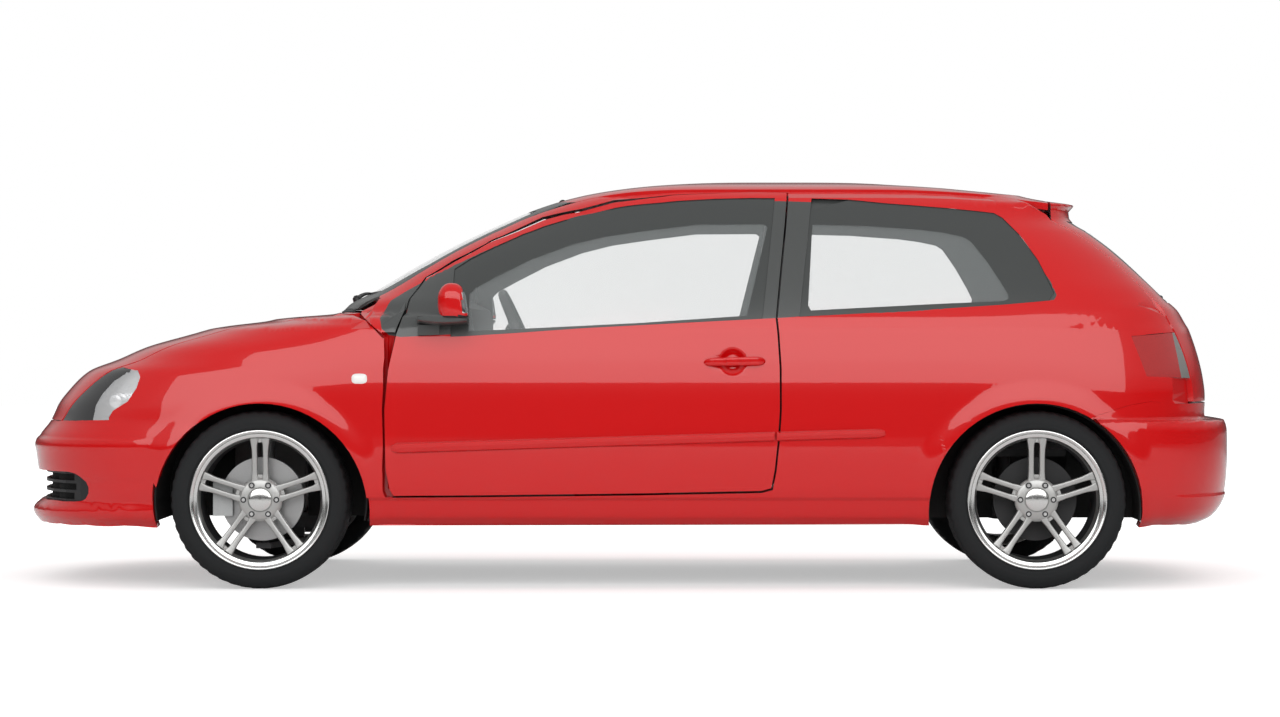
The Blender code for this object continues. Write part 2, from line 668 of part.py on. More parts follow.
def side_frame():
    """Sill, pillars, roof rail and rear quarter of the left side, in one wall."""
    columns = (
        spread(station(1.095), PILLAR_FACE_X, 4)[:-1] + spread(PILLAR_FACE_X, station(1.33), 6)[:-1]
        + spread(station(1.33), station(1.64), 3)[:-1] + spread(station(1.64), station(2.82), 13)
    )

    def sink(point, x, angle):
        if point.z < level(SILL_TOP_LEVEL_SHARE) and x < station(1.95):
            return Vector((point.x, -(SILL_INNER_Y - SKIN), point.z))
        if x < FENDER_REAR_X + SEAT_GAP and point.z < level(1.2):
            return Vector((point.x, max(SKIN - PILLAR_INNER_Y, point.y + FRAME_DEPTH), point.z - SKIN / 4))
        if point.z > level(1.08) or x > station(2.60):
            return inward(point, FRAME_DEPTH)
        return inward(point, QUARTER_DEPTH)

    wall = sheet("side_frame_left", columns, degrees(-31, 62, 12), polar_place, sink, PAINT)
    hinge_pocket = rod(
        (*DOOR_AXIS, level(0.385)), (*DOOR_AXIS, level(0.985)), DOOR_POCKET, ARCH_SIDES // 2,
    )
    far = HALF_WIDTH + OVERRUN
    cut(
        wall,
        prism("x", edge_outline(WINDSCREEN_EDGE, WINDSCREEN_LEVELS, SEAT_GAP, False), NOSE_X, station(1.45)),
        prism("x", edge_outline(TAILGATE_EDGE, spread(0.55, 2.1, 16), LID_GAP, False), station(2.0), station(3.5)),
        door_cutter(DOOR_GAP),
        box((NOSE_X, -far, -OVERRUN), (station(3), OVERRUN, UNDERSIDE_Z)),
        box((NOSE_X, -SILL_INNER_Y, -OVERRUN), (station(3), OVERRUN, level(SILL_TOP_LEVEL_SHARE))),
        box((NOSE_X, -(ROOF_HALF + SEAT_GAP), level(1.5)), (station(3.2), OVERRUN, HEIGHT + OVERRUN)),
        box((NOSE_X, -PILLAR_INNER_Y, 0), (station(1.23), OVERRUN, level(1.19))),
        hinge_pocket,
        prism("y", QUARTER_WINDOW, OUTSIDE_Y, 0),
        arch_cutter(REAR_ARCH, ARCH_RADIUS, SILL_INNER_Y - OVERRUN),
        arch_cutter(FRONT_LINER, ARCH_RADIUS + SEAT_GAP, SILL_INNER_Y - OVERRUN),
        arch_cutter(FRONT_ARCH, ARCH_RADIUS + LINER_WALL, SILL_INNER_Y - OVERRUN),
        prism("y", below(REAR_SEAM, -SEAT_GAP), OUTSIDE_Y, OVERRUN),
        prism("y", offset(TAIL_LAMP_OUTLINE, SEAT_GAP), OUTSIDE_Y, 0),
        prism("y", fender_reach(), OUTSIDE_Y, -PILLAR_FACE_Y),
        prism("y", below(PILLAR_SEAM[:3], -SEAT_GAP, level(1.01)), OUTSIDE_Y, OVERRUN),
        prism("y", below(PILLAR_SEAM[:4], -SEAT_GAP, PILLAR_HEAD_Z - SKIN), OUTSIDE_Y, -PILLAR_HEAD_Y),
        prism("z", hood_plan(LID_GAP), 0, HEIGHT),
        prism("y", PILLAR_FRONT, -far, OVERRUN),
    )
    arm = HINGE_PIN
    for share in DOOR_HINGE_LEVELS:
        low, high = level(share), level(share) + HINGE_LENGTH
        x, y = DOOR_AXIS
        join(
            wall,
            box((x - arm, y, low + SEAT_GAP), (x + arm, y + DOOR_POCKET + 2 * arm, high - SEAT_GAP)),
            box((PILLAR_FACE_X - 4 * arm, y + DOOR_POCKET + SKIN / 4, low + SKIN / 12),
                (x + arm - SKIN / 12, y + DOOR_POCKET + 2 * arm - SKIN / 12, high - SKIN / 12)),
            rod((x, y, low), (x, y, high), HINGE_PIN, 16),
        )
    return wall


def fender():
    """The left front wing, with a lip over the wheel arch."""

    def sink(point, x, angle):
        thick = SKIN
        if point.z > level(0.61):
            thick = arch_lip_depth(point, FRONT_ARCH, SKIN, FENDER_LIP)
        if point.z > level(0.86):
            thick = SKIN
        if x > station(1.10):
            thick = min(thick, 2 * SKIN)
        return inward(point, thick)

    wing = sheet(
        "fender_left", spread(station(0.3964), station(1.175), 13), degrees(-29, 42, 11), polar_place, sink, PAINT,
    )
    depth = HALF_WIDTH + OVERRUN
    cut(
        wing,
        prism("z", hood_plan(LID_GAP), 0, HEIGHT),
        prism("y", offset(HEADLAMP_OUTLINE, SEAT_GAP), OUTSIDE_Y, 0),
        prism("y", below(FRONT_SEAM, 0), OUTSIDE_Y, 0),
        arch_cutter(FRONT_ARCH, ARCH_RADIUS, SILL_INNER_Y - OVERRUN),
        arch_cutter(FRONT_LINER, ARCH_RADIUS, SILL_INNER_Y - OVERRUN, STEERED_TYRE_OUTER_Y),
        fender_rear_cutter(),
        prism("y", below([(station(1.12), level(0.354)), (station(1.2), level(0.354))], -SEAT_GAP), OUTSIDE_Y, 0),
        prism("y", above(PILLAR_SEAM, 0), OUTSIDE_Y, 0),
        box((NOSE_X, -depth, -OVERRUN), (station(1.5), 0, UNDERSIDE_Z)),
    )
    return wing


def fender_reach():
    """Outline of all that the wing covers beside the pillar, seen from the side."""
    edge = [p for p in offset(DOOR_OUTLINE, DOOR_GAP / 2) if p[0] < station(1.2) and p[1] < PILLAR_SEAM[3][1]]
    edge.sort(key=lambda p: p[1])
    edge = [p for p in edge if p[1] > level(0.354)]
    foot = (edge[0][0], level(0.354))
    head = (edge[-1][0], PILLAR_SEAM[3][1] + SEAT_GAP)
    return [(NOSE_X, level(0.354)), foot] + edge + [head, (PILLAR_SEAM[2][0], PILLAR_SEAM[2][1] + SEAT_GAP), (NOSE_X, HEIGHT)]


def fender_rear_cutter():
    """Everything behind the wing's rear edge, leaning forwards inside by as much as it goes in."""
    edge = [p for p in offset(DOOR_OUTLINE, DOOR_GAP) if p[0] < station(1.2) and p[1] < level(1.1)]
    edge.sort(key=lambda p: p[1])
    line = [(edge[0][0], 0)] + edge + [(edge[-1][0], HEIGHT)]
    outline = line + [(station(1.6), HEIGHT), (station(1.6), 0)]
    reach = HALF_WIDTH / 2
    bm = bmesh.new()
    top = max(-DOOR_AXIS[1] + DOOR_HINGE_IN, HALF_WIDTH - SKIN / 2)
    rings = []
    for y, lean in ((-(top + reach), 0), (-top, 0), (-(top - reach), reach)):
        rings.append([bm.verts.new((x - lean, y, z)) for x, z in outline])
    bm.faces.new(rings[0])
    bm.faces.new(rings[-1])
    for one, two in zip(rings, rings[1:]):
        for i in range(len(outline)):
            j = (i + 1) % len(outline)
            bm.faces.new((one[i], one[j], two[j], two[i]))
    return new_object("cutter", bm)


def door():
    """The left door: a skin with its window frame, and the deep part behind it that holds the hinges."""
    columns = (
        [station(1.15), DOOR_DEEP_X - SKIN / 2, DOOR_DEEP_X]
        + spread(DOOR_DEEP_X + SKIN * 4, station(1.64), 7) + [station(1.66), station(1.70)]
    )

    def sink(point, x, angle):
        if x < DOOR_DEEP_X - SKIN / 4:
            return inward(point, SKIN)
        if point.z > level(0.985) + (x - DOOR_DEEP_X) * 0.045:
            return inward(point, DOOR_SKIN)
        return inward(point, DOOR_DEPTH)

    leaf = sheet("door_left", columns, degrees(-19, 60, 13), polar_place, sink, PAINT)
    keep(leaf, door_cutter(0))
    roof_edge = -(ROOF_HALF + 2 * LID_GAP)
    cut(leaf, prism("y", DOOR_WINDOW, OUTSIDE_Y, 0),
        box((NOSE_X, roof_edge, level(1.5)), (station(2), OVERRUN, HEIGHT + OVERRUN)))
    arm = HINGE_PIN
    x, y = DOOR_AXIS
    for share in DOOR_HINGE_LEVELS:
        low = level(share) + HINGE_LENGTH + SEAT_GAP
        high = low + HINGE_LENGTH
        join(leaf, box((x, y - arm, low + SEAT_GAP), (DOOR_DEEP_X + SKIN, y + arm, high - SEAT_GAP)),
             rod((x, y, low), (x, y, high), HINGE_PIN, 16))
    join(leaf, box((MIRROR_FOOT_X, -(MIRROR_FOOT_Y), MIRROR_FOOT_Z),
                   (MIRROR_FOOT_X + MIRROR_FOOT_LENGTH, -(MIRROR_FOOT_Y - DOOR_SKIN * 1.5),
                    MIRROR_FOOT_Z + MIRROR_FOOT_HEIGHT)))
    return leaf


MIRROR_FOOT_X = station(1.204)
MIRROR_FOOT_LENGTH = 0.075
MIRROR_FOOT_Z = level(0.975)
MIRROR_FOOT_HEIGHT = 0.035
MIRROR_FOOT_Y = HALF_WIDTH - 0.018
MIRROR_OUTER_Y = HALF_WIDTH + 0.110
MIRROR_INNER_Y = HALF_WIDTH + 0.015


def pane(name, outline, columns, rows):
    """A side window set into its opening."""
    glass = sheet(
        name, columns, rows, lambda x, a: inward(polar_place(x, a), GLASS_SET),
        lambda point, x, a: inward(polar_place(x, a), GLASS_SET + GLASS), GLAZING,
    )
    return keep(glass, prism("y", offset(outline, -SEAT_GAP), OUTSIDE_Y, 0))


def mirror():
    """The left door mirror: a painted shell on a dark foot."""
    bm = bmesh.new()
    low = Vector((station(1.222), -MIRROR_OUTER_Y, level(1.085)))
    high = Vector((station(1.264), -MIRROR_INNER_Y, level(1.295)))
    bmesh.ops.create_cube(bm, size=1.0)
    bmesh.ops.bevel(bm, geom=bm.edges[:], offset=0.28, segments=3, profile=0.5, affect="EDGES")
    bmesh.ops.scale(bm, vec=high - low, verts=bm.verts[:])
    bmesh.ops.translate(bm, vec=(high + low) / 2, verts=bm.verts[:])
    shell = new_object("mirror_left", bm, PAINT)
    foot = box(
        (MIRROR_FOOT_X + SKIN / 6, -(MIRROR_INNER_Y + 3 * SKIN), MIRROR_FOOT_Z + SKIN / 4),
        (MIRROR_FOOT_X + MIRROR_FOOT_LENGTH * 0.93, -(MIRROR_FOOT_Y + SEAT_GAP), MIRROR_FOOT_Z + MIRROR_FOOT_HEIGHT - SKIN / 8),
    )
    neck = box(
        (MIRROR_FOOT_X + SKIN, -(MIRROR_INNER_Y + 2.7 * SKIN), MIRROR_FOOT_Z + SKIN),
        (MIRROR_FOOT_X + MIRROR_FOOT_LENGTH * 0.9, -(MIRROR_INNER_Y + SKIN / 2), level(1.17)),
    )
    return join(shell, foot, neck)


def roof():
    """The roof panel between the side frames."""
    half = ROOF_HALF
    front = level(WINDSCREEN_TOP_LEVEL_SHARE) + SEAT_GAP
    rear = station(TAILGATE_TOP_STATION_SHARE) - ROOF_GAP

    def place(across, along):
        y = across * half
        start = nose_x(y, front)
        x = start + (rear - start) * along
        return Vector((x, y, top_z(x, y)))

    panel = sheet(
        "roof", [-1, -0.95, -0.86, -0.72, -0.5, -0.25, 0, 0.25, 0.5, 0.72, 0.86, 0.95, 1],
        [0, 0.04, 0.1, 0.17, 0.25, 0.35, 0.45, 0.55, 0.65, 0.75, 0.85, 0.93, 1],
        place, lambda point, u, v: point - Vector((0, 0, ROOF_DEPTH)), PAINT,
    )
    x, z = TAILGATE_AXIS
    pockets = [
        box((x - TAILGATE_POCKET_FRONT, side * TAILGATE_HINGE_Y - HINGE_LENGTH / 2, z - ROOF_DEPTH),
            (x + TAILGATE_POCKET_REAR, side * TAILGATE_HINGE_Y + HINGE_LENGTH / 2, z + TAILGATE_BARREL + SEAT_GAP))
        for side in (-1, 1)
    ]
    cut(panel, box((NOSE_X, -HALF_WIDTH, 0), (station(1.45), HALF_WIDTH, front)), *pockets)
    return panel


def cross_sheet(name, edge, shares, count, place, sink, look, inset=0.0):
    """A sheet across the car between two edges, row by row up its levels."""

    def at(across, share):
        return place(across * (edge(share) * HALF_WIDTH - inset), share)

    return sheet(name, [math.sin(math.pi / 2 * a) for a in spread(-1, 1, count)], shares, at, sink, look)


def nose_point(y, share):
    """A point of the front surface."""
    return Vector((nose_x(y, level(share)), y, level(share)))


def tail_point(y, share):
    """A point of the rear surface."""
    return Vector((tail_x(y, level(share)), y, level(share)))


def windscreen():
    """The windscreen, sitting between the pillars, the cowl and the roof."""
    inside = GLASS * 2
    return cross_sheet(
        "windscreen", WINDSCREEN_EDGE, WINDSCREEN_LEVELS, 10, nose_point,
        lambda point, u, v: point + Vector((inside, 0, 0)), GLAZING,
    )


def hood():
    """The bonnet, from the bumper's seam up over the nose and back to the cowl, with its two hinge arms."""
    foot = HOOD_FOOT_LEVEL_SHARE + LID_GAP / BELT_HEIGHT
    rows = [foot, 0.66, 0.6900, 0.72, 0.7589, 0.7850, 0.8089, 0.8361, 0.8767, 0.9289, 0.9744, 1.0188, 1.0535,
            1.0741, HOOD_REAR_LEVEL_SHARE]

    def sink(point, across, share):
        lean = min(1, max(0, (share - foot) / (0.83 - foot)))
        return point + Vector((math.cos(lean * math.pi / 2), 0, -math.sin(lean * math.pi / 2))) * HOOD_DEPTH

    lid = cross_sheet("hood", HOOD_EDGE, rows, 10, nose_point, sink, PAINT)
    x, z = HOOD_AXIS
    for side in (-1, 1):
        y = side * HOOD_HINGE_Y
        half = HINGE_LENGTH / 3
        tip = nose_x(HOOD_HINGE_Y, level(HOOD_REAR_LEVEL_SHARE)) - SKIN * 2
        arm = box((tip, y - half, level(HOOD_REAR_LEVEL_SHARE) - HOOD_DEPTH * 1.4),
                  (x, y + half, level(HOOD_REAR_LEVEL_SHARE) - HOOD_DEPTH * 0.5))
        barrel = rod((x, y - half - SEAT_GAP / 3, z), (x, y + half + SEAT_GAP / 3, z), HINGE_PIN * 1.4, 16)
        join(lid, arm, barrel)
    return lid


def hood_pin(frame):
    """The pin on the pillar that carries the bonnet's hinge barrel."""
    x, z = HOOD_AXIS
    end = HOOD_HINGE_Y + HINGE_LENGTH / 3 + SEAT_GAP * 4 / 3
    reach = 6 * HINGE_PIN
    half = HINGE_LENGTH / 3 + HINGE_PIN
    cut(frame, box((station(1.05), -(HOOD_HINGE_Y + half), level(0.95)),
                   (x + HINGE_PIN * 2.5, -(WINDSCREEN_EDGE(1.13) * HALF_WIDTH - SKIN), level(1.24))))
    join(frame, rod((x, -(HOOD_HINGE_Y + reach), z), (x, -end, z), HINGE_PIN, 16))
    return frame


def bumper(name, front):
    """A bumper skin round one end of the car, with both wheel arches and the seam above it cut away."""
    if front:
        rows = [UNDERSIDE_Z, 0.257, 0.300, 0.345, 0.387, 0.466, 0.505, 0.548, 0.590]
        widest, turns = 74, 14
    else:
        rows = [UNDERSIDE_Z, 0.239, 0.282, 0.320, 0.4115, 0.4925, 0.560, 0.5765, 0.5846, 0.5946, 0.662]
        widest, turns = 80, 14

    def place(turn, z):
        (nose, nose_depth, nose_power), (tail, tail_depth, tail_power) = caps(z)
        power, depth = (nose_power, nose_depth) if front else (tail_power, tail_depth)
        across = math.copysign(abs(math.sin(turn)) ** (2 / power), math.sin(turn))
        along = abs(math.cos(turn)) ** (2 / power)
        y = across * half_width(z)
        if front:
            return Vector((nose + nose_depth * (1 - along), y, z))
        return Vector((tail - tail_depth * (1 - along), y, z))

    middle = station(0.9 if front else 2.3)

    def sink(point, turn, z):
        back = Vector((middle - point.x, -point.y, 0))
        return point + back.normalized() * BUMPER_DEPTH

    turns_list = [math.radians(widest) * math.copysign(abs(a) ** 1.25, a) for a in spread(-1, 1, turns)]
    skin = sheet(name, turns_list, rows, place, sink, PAINT)
    seam = FRONT_SEAM if front else REAR_SEAM
    centre = FRONT_ARCH if front else REAR_ARCH
    arch = rod((centre[0], OUTSIDE_Y, centre[1]), (centre[0], -OUTSIDE_Y, centre[1]), ARCH_RADIUS, ARCH_SIDES)
    start, end = (centre[0], station(1.5)) if front else (station(1.5), centre[0])
    beyond = box((start, OUTSIDE_Y, -OVERRUN), (end, -OUTSIDE_Y, HEIGHT))
    tools = [prism("y", above(seam, -SEAT_GAP if front else 0), OUTSIDE_Y, -OUTSIDE_Y), arch, beyond]
    if front:
        tools.append(prism("x", grille_outline(0), NOSE_X - OVERRUN, station(0.6)))
        tools.append(arch_cutter(FRONT_LINER, ARCH_RADIUS, -STEERED_TYRE_OUTER_Y, STEERED_TYRE_OUTER_Y))
    cut(skin, *tools)
    return skin


GRILLE_HALF = HALF_WIDTH * 0.805
GRILLE_LOW = 0.292
GRILLE_HIGH = 0.400
GRILLE_DEPTH = 0.022
GRILLE_BAR = 0.010


def grille_outline(gap):
    """The lower air intake's outline seen from the front, with rounded ends."""
    middle = (GRILLE_LOW + GRILLE_HIGH) / 2
    radius = (GRILLE_HIGH - GRILLE_LOW) / 2
    points = []
    for turn in spread(-90, 90, 8):
        a = math.radians(turn)
        points.append((GRILLE_HALF - radius + (radius + gap) * math.cos(a), middle + (radius + gap) * math.sin(a)))
    for turn in spread(90, 270, 8):
        a = math.radians(turn)
        points.append((-GRILLE_HALF + radius + (radius + gap) * math.cos(a), middle + (radius + gap) * math.sin(a)))
    return points


def lower_grille():
    """The slatted grille in the bumper's intake."""
    rows = spread(GRILLE_LOW - GRILLE_BAR, GRILLE_HIGH + GRILLE_BAR, 2)
    flat = level(0.37)
    grille = sheet(
        "lower_grille", [GRILLE_HALF * 1.03 * math.sin(a * math.pi / 2) for a in spread(-1, 1, 16)], rows,
        lambda y, z: Vector((nose_x(y, flat) + BUMPER_DEPTH / 6, y, z)),
        lambda point, y, z: point + Vector((GRILLE_DEPTH, 0, 0)), TRIM,
    )
    keep(grille, prism("x", grille_outline(-SEAT_GAP), NOSE_X - OVERRUN, station(0.6)))
    step = (GRILLE_HIGH - GRILLE_LOW - GRILLE_BAR) / 3
    for i in range(3):
        low = GRILLE_LOW + GRILLE_BAR + i * step
        half = GRILLE_HALF - (GRILLE_HIGH - GRILLE_LOW) / 2 * (1 if i == 1 else 1.15)
        cut(grille, box((NOSE_X - OVERRUN, -half, low), (station(0.6), half, low + step - GRILLE_BAR)))
    return grille


def headlamp():
    """The left headlamp, filling the corner between bonnet, wing and bumper."""
    lamp = sheet(
        "headlamp_left", spread(station(0.12), station(0.54), 9), degrees(-1, 30, 8), polar_place,
        lambda point, x, angle: point + Vector((0.45, 0.9, -0.25)) * LAMP_DEPTH, CLEAR_LAMP,
    )
    shape = offset(HEADLAMP_OUTLINE, -SEAT_GAP)
    front = station(0.3964) - SEAT_GAP
    shape = [(station(0.02), level(0.6)), (station(0.02), level(0.95)), (front, level(0.95)), (front, level(0.8340))] \
        + shape[3:] + [(shape[-1][0], level(0.6))]
    keep(lamp, prism("y", shape, OUTSIDE_Y, 0))
    cut(lamp, prism("z", hood_plan(LID_GAP), 0, HEIGHT), prism("y", below(FRONT_SEAM, 0), OUTSIDE_Y, 0))
    return lamp


def tail_lamp():
    """The left tail lamp, set into the quarter beside the tailgate."""
    lamp = sheet(
        "tail_lamp_left", spread(station(2.43), station(2.80), 8), degrees(10, 32, 6), polar_place,
        lambda point, x, angle: inward(point, FRAME_DEPTH), RED_LAMP,
    )
    keep(lamp, prism("y", offset(TAIL_LAMP_OUTLINE, -SEAT_GAP), OUTSIDE_Y, 0))
    cut(lamp, prism("x", edge_outline(TAILGATE_EDGE, spread(0.55, 2.1, 16), LID_GAP, False), station(2.0),
                    station(3.5)))
    return lamp


def tailgate():
    """The tailgate with its roof spoiler and window opening, and its hinge arms."""

    def sink(point, across, share):
        lean = min(1, max(0, (share - 1.0) / 0.75)) * math.radians(50)
        return point + Vector((-math.cos(lean), 0, -math.sin(lean))) * TAILGATE_DEPTH

    gate = cross_sheet("tailgate", TAILGATE_EDGE, TAILGATE_LEVELS, 10, tail_point, sink, PAINT)
    cut(
        gate,
        box((station(1.5), -HALF_WIDTH, 0), (station(TAILGATE_TOP_STATION_SHARE), HALF_WIDTH, HEIGHT + OVERRUN)),
        prism("x", edge_outline(REAR_GLASS_EDGE, REAR_GLASS_LEVELS, SEAT_GAP), station(2.0), station(3.2)),
    )
    x, z = TAILGATE_AXIS
    face = station(TAILGATE_TOP_STATION_SHARE) - x + SKIN / 2
    for side in (-1, 1):
        y = side * TAILGATE_HINGE_Y
        half = HINGE_LENGTH / 2 - SEAT_GAP
        join(
            gate,
            rod((x, y - half, z), (x, y + half, z), TAILGATE_BARREL, 16),
            tailgate_arm(y, half - SEAT_GAP, face),
        )
    return gate


def tailgate_arm(y, half, face):
    """The bent arm from the tailgate's front edge down, forward and up to its barrel under the roof."""
    x, z = TAILGATE_AXIS
    inner, outer = TAILGATE_ARM_REACH, TAILGATE_ARM_REACH + TAILGATE_ARM
    outline = [(x - TAILGATE_BARREL * 0.7, z)]
    turns = degrees(*TAILGATE_ARM_TURNS, 5)
    outline += [(x + outer * math.cos(a), z + outer * math.sin(a)) for a in turns]
    outline += [(x + face, z - outer * 0.80), (x + face, z - inner * 0.72)]
    outline += [(x + inner * math.cos(a), z + inner * math.sin(a)) for a in reversed(turns)]
    outline += [(x + TAILGATE_BARREL * 0.2, z)]
    return prism("y", outline, y - half, y + half)


def rear_glass():
    """The rear window in the tailgate."""
    return cross_sheet(
        "rear_glass", REAR_GLASS_EDGE, REAR_GLASS_LEVELS, 10,
        lambda y, share: tail_point(y, share) - Vector((GLASS_SET, 0, 0)),
        lambda point, u, v: point - Vector((GLASS * 1.4, 0, 0)), GLAZING,
    )


def lathe(name, profile, centre_y, sides, look, axle_x=0.0, axle_z=0.0):
    """A closed profile of (reach out of the car, radius) points turned about an axle."""
    bm = bmesh.new()
    ring = [bm.verts.new((0, centre_y - out, radius)) for out, radius in profile]
    edges = [bm.edges.new((a, b)) for a, b in zip(ring, ring[1:] + ring[:1])]
    bmesh.ops.spin(
        bm, geom=ring + edges, cent=(0, centre_y, 0), axis=(0, 1, 0), angle=math.tau, steps=sides,
        use_merge=True, use_duplicate=False,
    )
    bmesh.ops.translate(bm, vec=(axle_x, 0, axle_z), verts=bm.verts[:])
    return new_object(name, bm, look)


WHEEL_Y = -TRACK / 2
TYRE_SIDES = 24
HUB_INNER_Y = SPINDLE_END_Y + SEAT_GAP


def tyre():
    """A tyre on the left of the front axle line, at x = 0."""
    half = TYRE_WIDTH / 2
    bead = RIM_RADIUS + SEAT_GAP
    wall = TYRE_RADIUS - bead
    side = [
        (half - TYRE_SHOULDER, TYRE_RADIUS), (half - TYRE_SHOULDER / 3, TYRE_RADIUS - TYRE_SHOULDER / 3),
        (half, TYRE_RADIUS - wall * 0.45), (half - TYRE_SHOULDER / 4, bead + wall * 0.2),
        (half - TYRE_SHOULDER / 2, bead),
    ]
    profile = [(0, TYRE_RADIUS)] + side + [(-out, radius) for out, radius in reversed(side)]
    return lathe("tyre", profile, WHEEL_Y, TYRE_SIDES, RUBBER)


def rim():
    """A five-spoke rim with paired bars, its hub and its brake disc, on the left at x = 0."""
    half = TYRE_WIDTH / 2 - TYRE_SHOULDER / 2
    lip = RIM_RADIUS - RIM_LIP
    well = RIM_WELL_RADIUS + RIM_WALL
    profile = [
        (half, RIM_RADIUS), (half * 0.7, RIM_RADIUS), (half * 0.5, well + RIM_WALL), (-half * 0.7, well + RIM_WALL),
        (-half * 0.8, RIM_RADIUS), (-half, RIM_RADIUS), (-half, RIM_RADIUS - RIM_WALL), (-half * 0.6, well),
        (half * 0.45, well), (half, lip),
    ]
    wheel = lathe("rim", profile, WHEEL_Y, TYRE_SIDES, ALLOY)
    face = -SPOKE_FACE_Y
    join(
        wheel,
        rod((0, -HUB_INNER_Y, 0), (0, face + SPOKE_DEPTH * 0.2, 0), HUB_RADIUS, 20),
    )
    join(wheel, rod((0, -DISC_FACE_Y, 0), (0, -(DISC_FACE_Y - DISC_WIDTH), 0), DISC_RADIUS, 20))
    length = well + RIM_WALL / 2 - HUB_RADIUS * 0.6
    for k in range(SPOKE_COUNT):
        for side in (-1, 1):
            bm = bmesh.new()
            bmesh.ops.create_cube(bm, size=1.0)
            shift = side * (SPOKE_BAR_WIDTH + SPOKE_SLOT) / 2
            middle = HUB_RADIUS * 0.6 + length / 2
            place = (
                Matrix.Rotation(math.tau * k / SPOKE_COUNT, 4, "Y")
                @ Matrix.Translation((shift, face + SPOKE_DEPTH / 2, middle))
                @ Matrix.Diagonal((SPOKE_BAR_WIDTH, SPOKE_DEPTH, length, 1))
            )
            bmesh.ops.transform(bm, matrix=place, verts=bm.verts[:])
            join(wheel, new_object("cutter", bm))
    cut(wheel, rod((0, face - SPOKE_DEPTH, 0), (0, face + SPOKE_DEPTH * 0.45, 0), CAP_RADIUS, 12))
    join(wheel, rod((0, face + SPOKE_DEPTH, 0), (0, face, 0), CAP_RADIUS * 0.93, 12))
    return wheel


def placed_copy(source, name, x, mirror):
    """A copy of a wheel part on one of the four corners."""
    mesh = source.data.copy()
    bm = bmesh.new()
    bm.from_mesh(mesh)
    if mirror:
        bmesh.ops.scale(bm, vec=(1, -1, 1), verts=bm.verts[:])
        bmesh.ops.reverse_faces(bm, faces=bm.faces[:])
    bm.to_mesh(mesh)
    bm.free()
    made = bpy.data.objects.new(name, mesh)
    made.location = (x, 0, TYRE_RADIUS)
    CAR.objects.link(made)
    return made


def wheels():
    """Four tyres on four rims."""
    for part in (tyre(), rim()):
        tidy(part)
        kind = part.name
        for end, x in (("front", FRONT_AXLE_X), ("rear", REAR_AXLE_X)):
            for side in ("left", "right"):
                placed_copy(part, f"{kind}_{end}_{side}", x, side == "right")
        bpy.data.objects.remove(part, do_unlink=True)


def arch_liner(name, centre, inner_y, outer_y, window):
    """The left wheel house: a tunnel with an inner wall, open below and open to the running gear."""
    liner = arch_cutter(centre, ARCH_RADIUS - SEAT_GAP, inner_y, outer_y)
    liner.name = name
    CUTTERS.objects.unlink(liner)
    CAR.objects.link(liner)
    liner.hide_render = False
    liner.display_type = "TEXTURED"
    liner.data.materials.append(TRIM)
    cut(
        liner,
        arch_cutter(centre, ARCH_RADIUS - LINER_WALL, inner_y + LINER_WALL),
        box((centre[0] - ARCH_RADIUS * 1.1, -HALF_WIDTH, -OVERRUN), (centre[0] + ARCH_RADIUS * 1.1, 0, LINER_FOOT_Z)),
        box((centre[0] - window / 2, -(inner_y + 2 * LINER_WALL), 0),
            (centre[0] + window / 2, -(inner_y - LINER_WALL), LINER_WINDOW_TOP)),
    )
    return liner


STRUT_Y = TRACK / 2 - 0.163
KINGPIN_TOP = (-STRUT_Y, 0.600)
KINGPIN_FOOT = (-(TRACK / 2 - 0.050), 0.180)
STRUT_RADIUS = 0.024
KINGPIN_RADIUS = 0.014


def kingpin(z):
    """Y of the left steering axis at a height."""
    (y1, z1), (y0, z0) = KINGPIN_TOP, KINGPIN_FOOT
    return y0 + (y1 - y0) * (z - z0) / (z1 - z0)


def kingpin_pin(low, high, radius=KINGPIN_RADIUS, look=None, name="cutter"):
    """A pin along the left steering axis between two heights measured along it."""
    return rod((FRONT_AXLE_X, kingpin(low), low), (FRONT_AXLE_X, kingpin(high), high), radius, 16, name, look)


CALIPER = (0.100, 0.168, 0.058)
UPRIGHT = (0.055, 0.11)


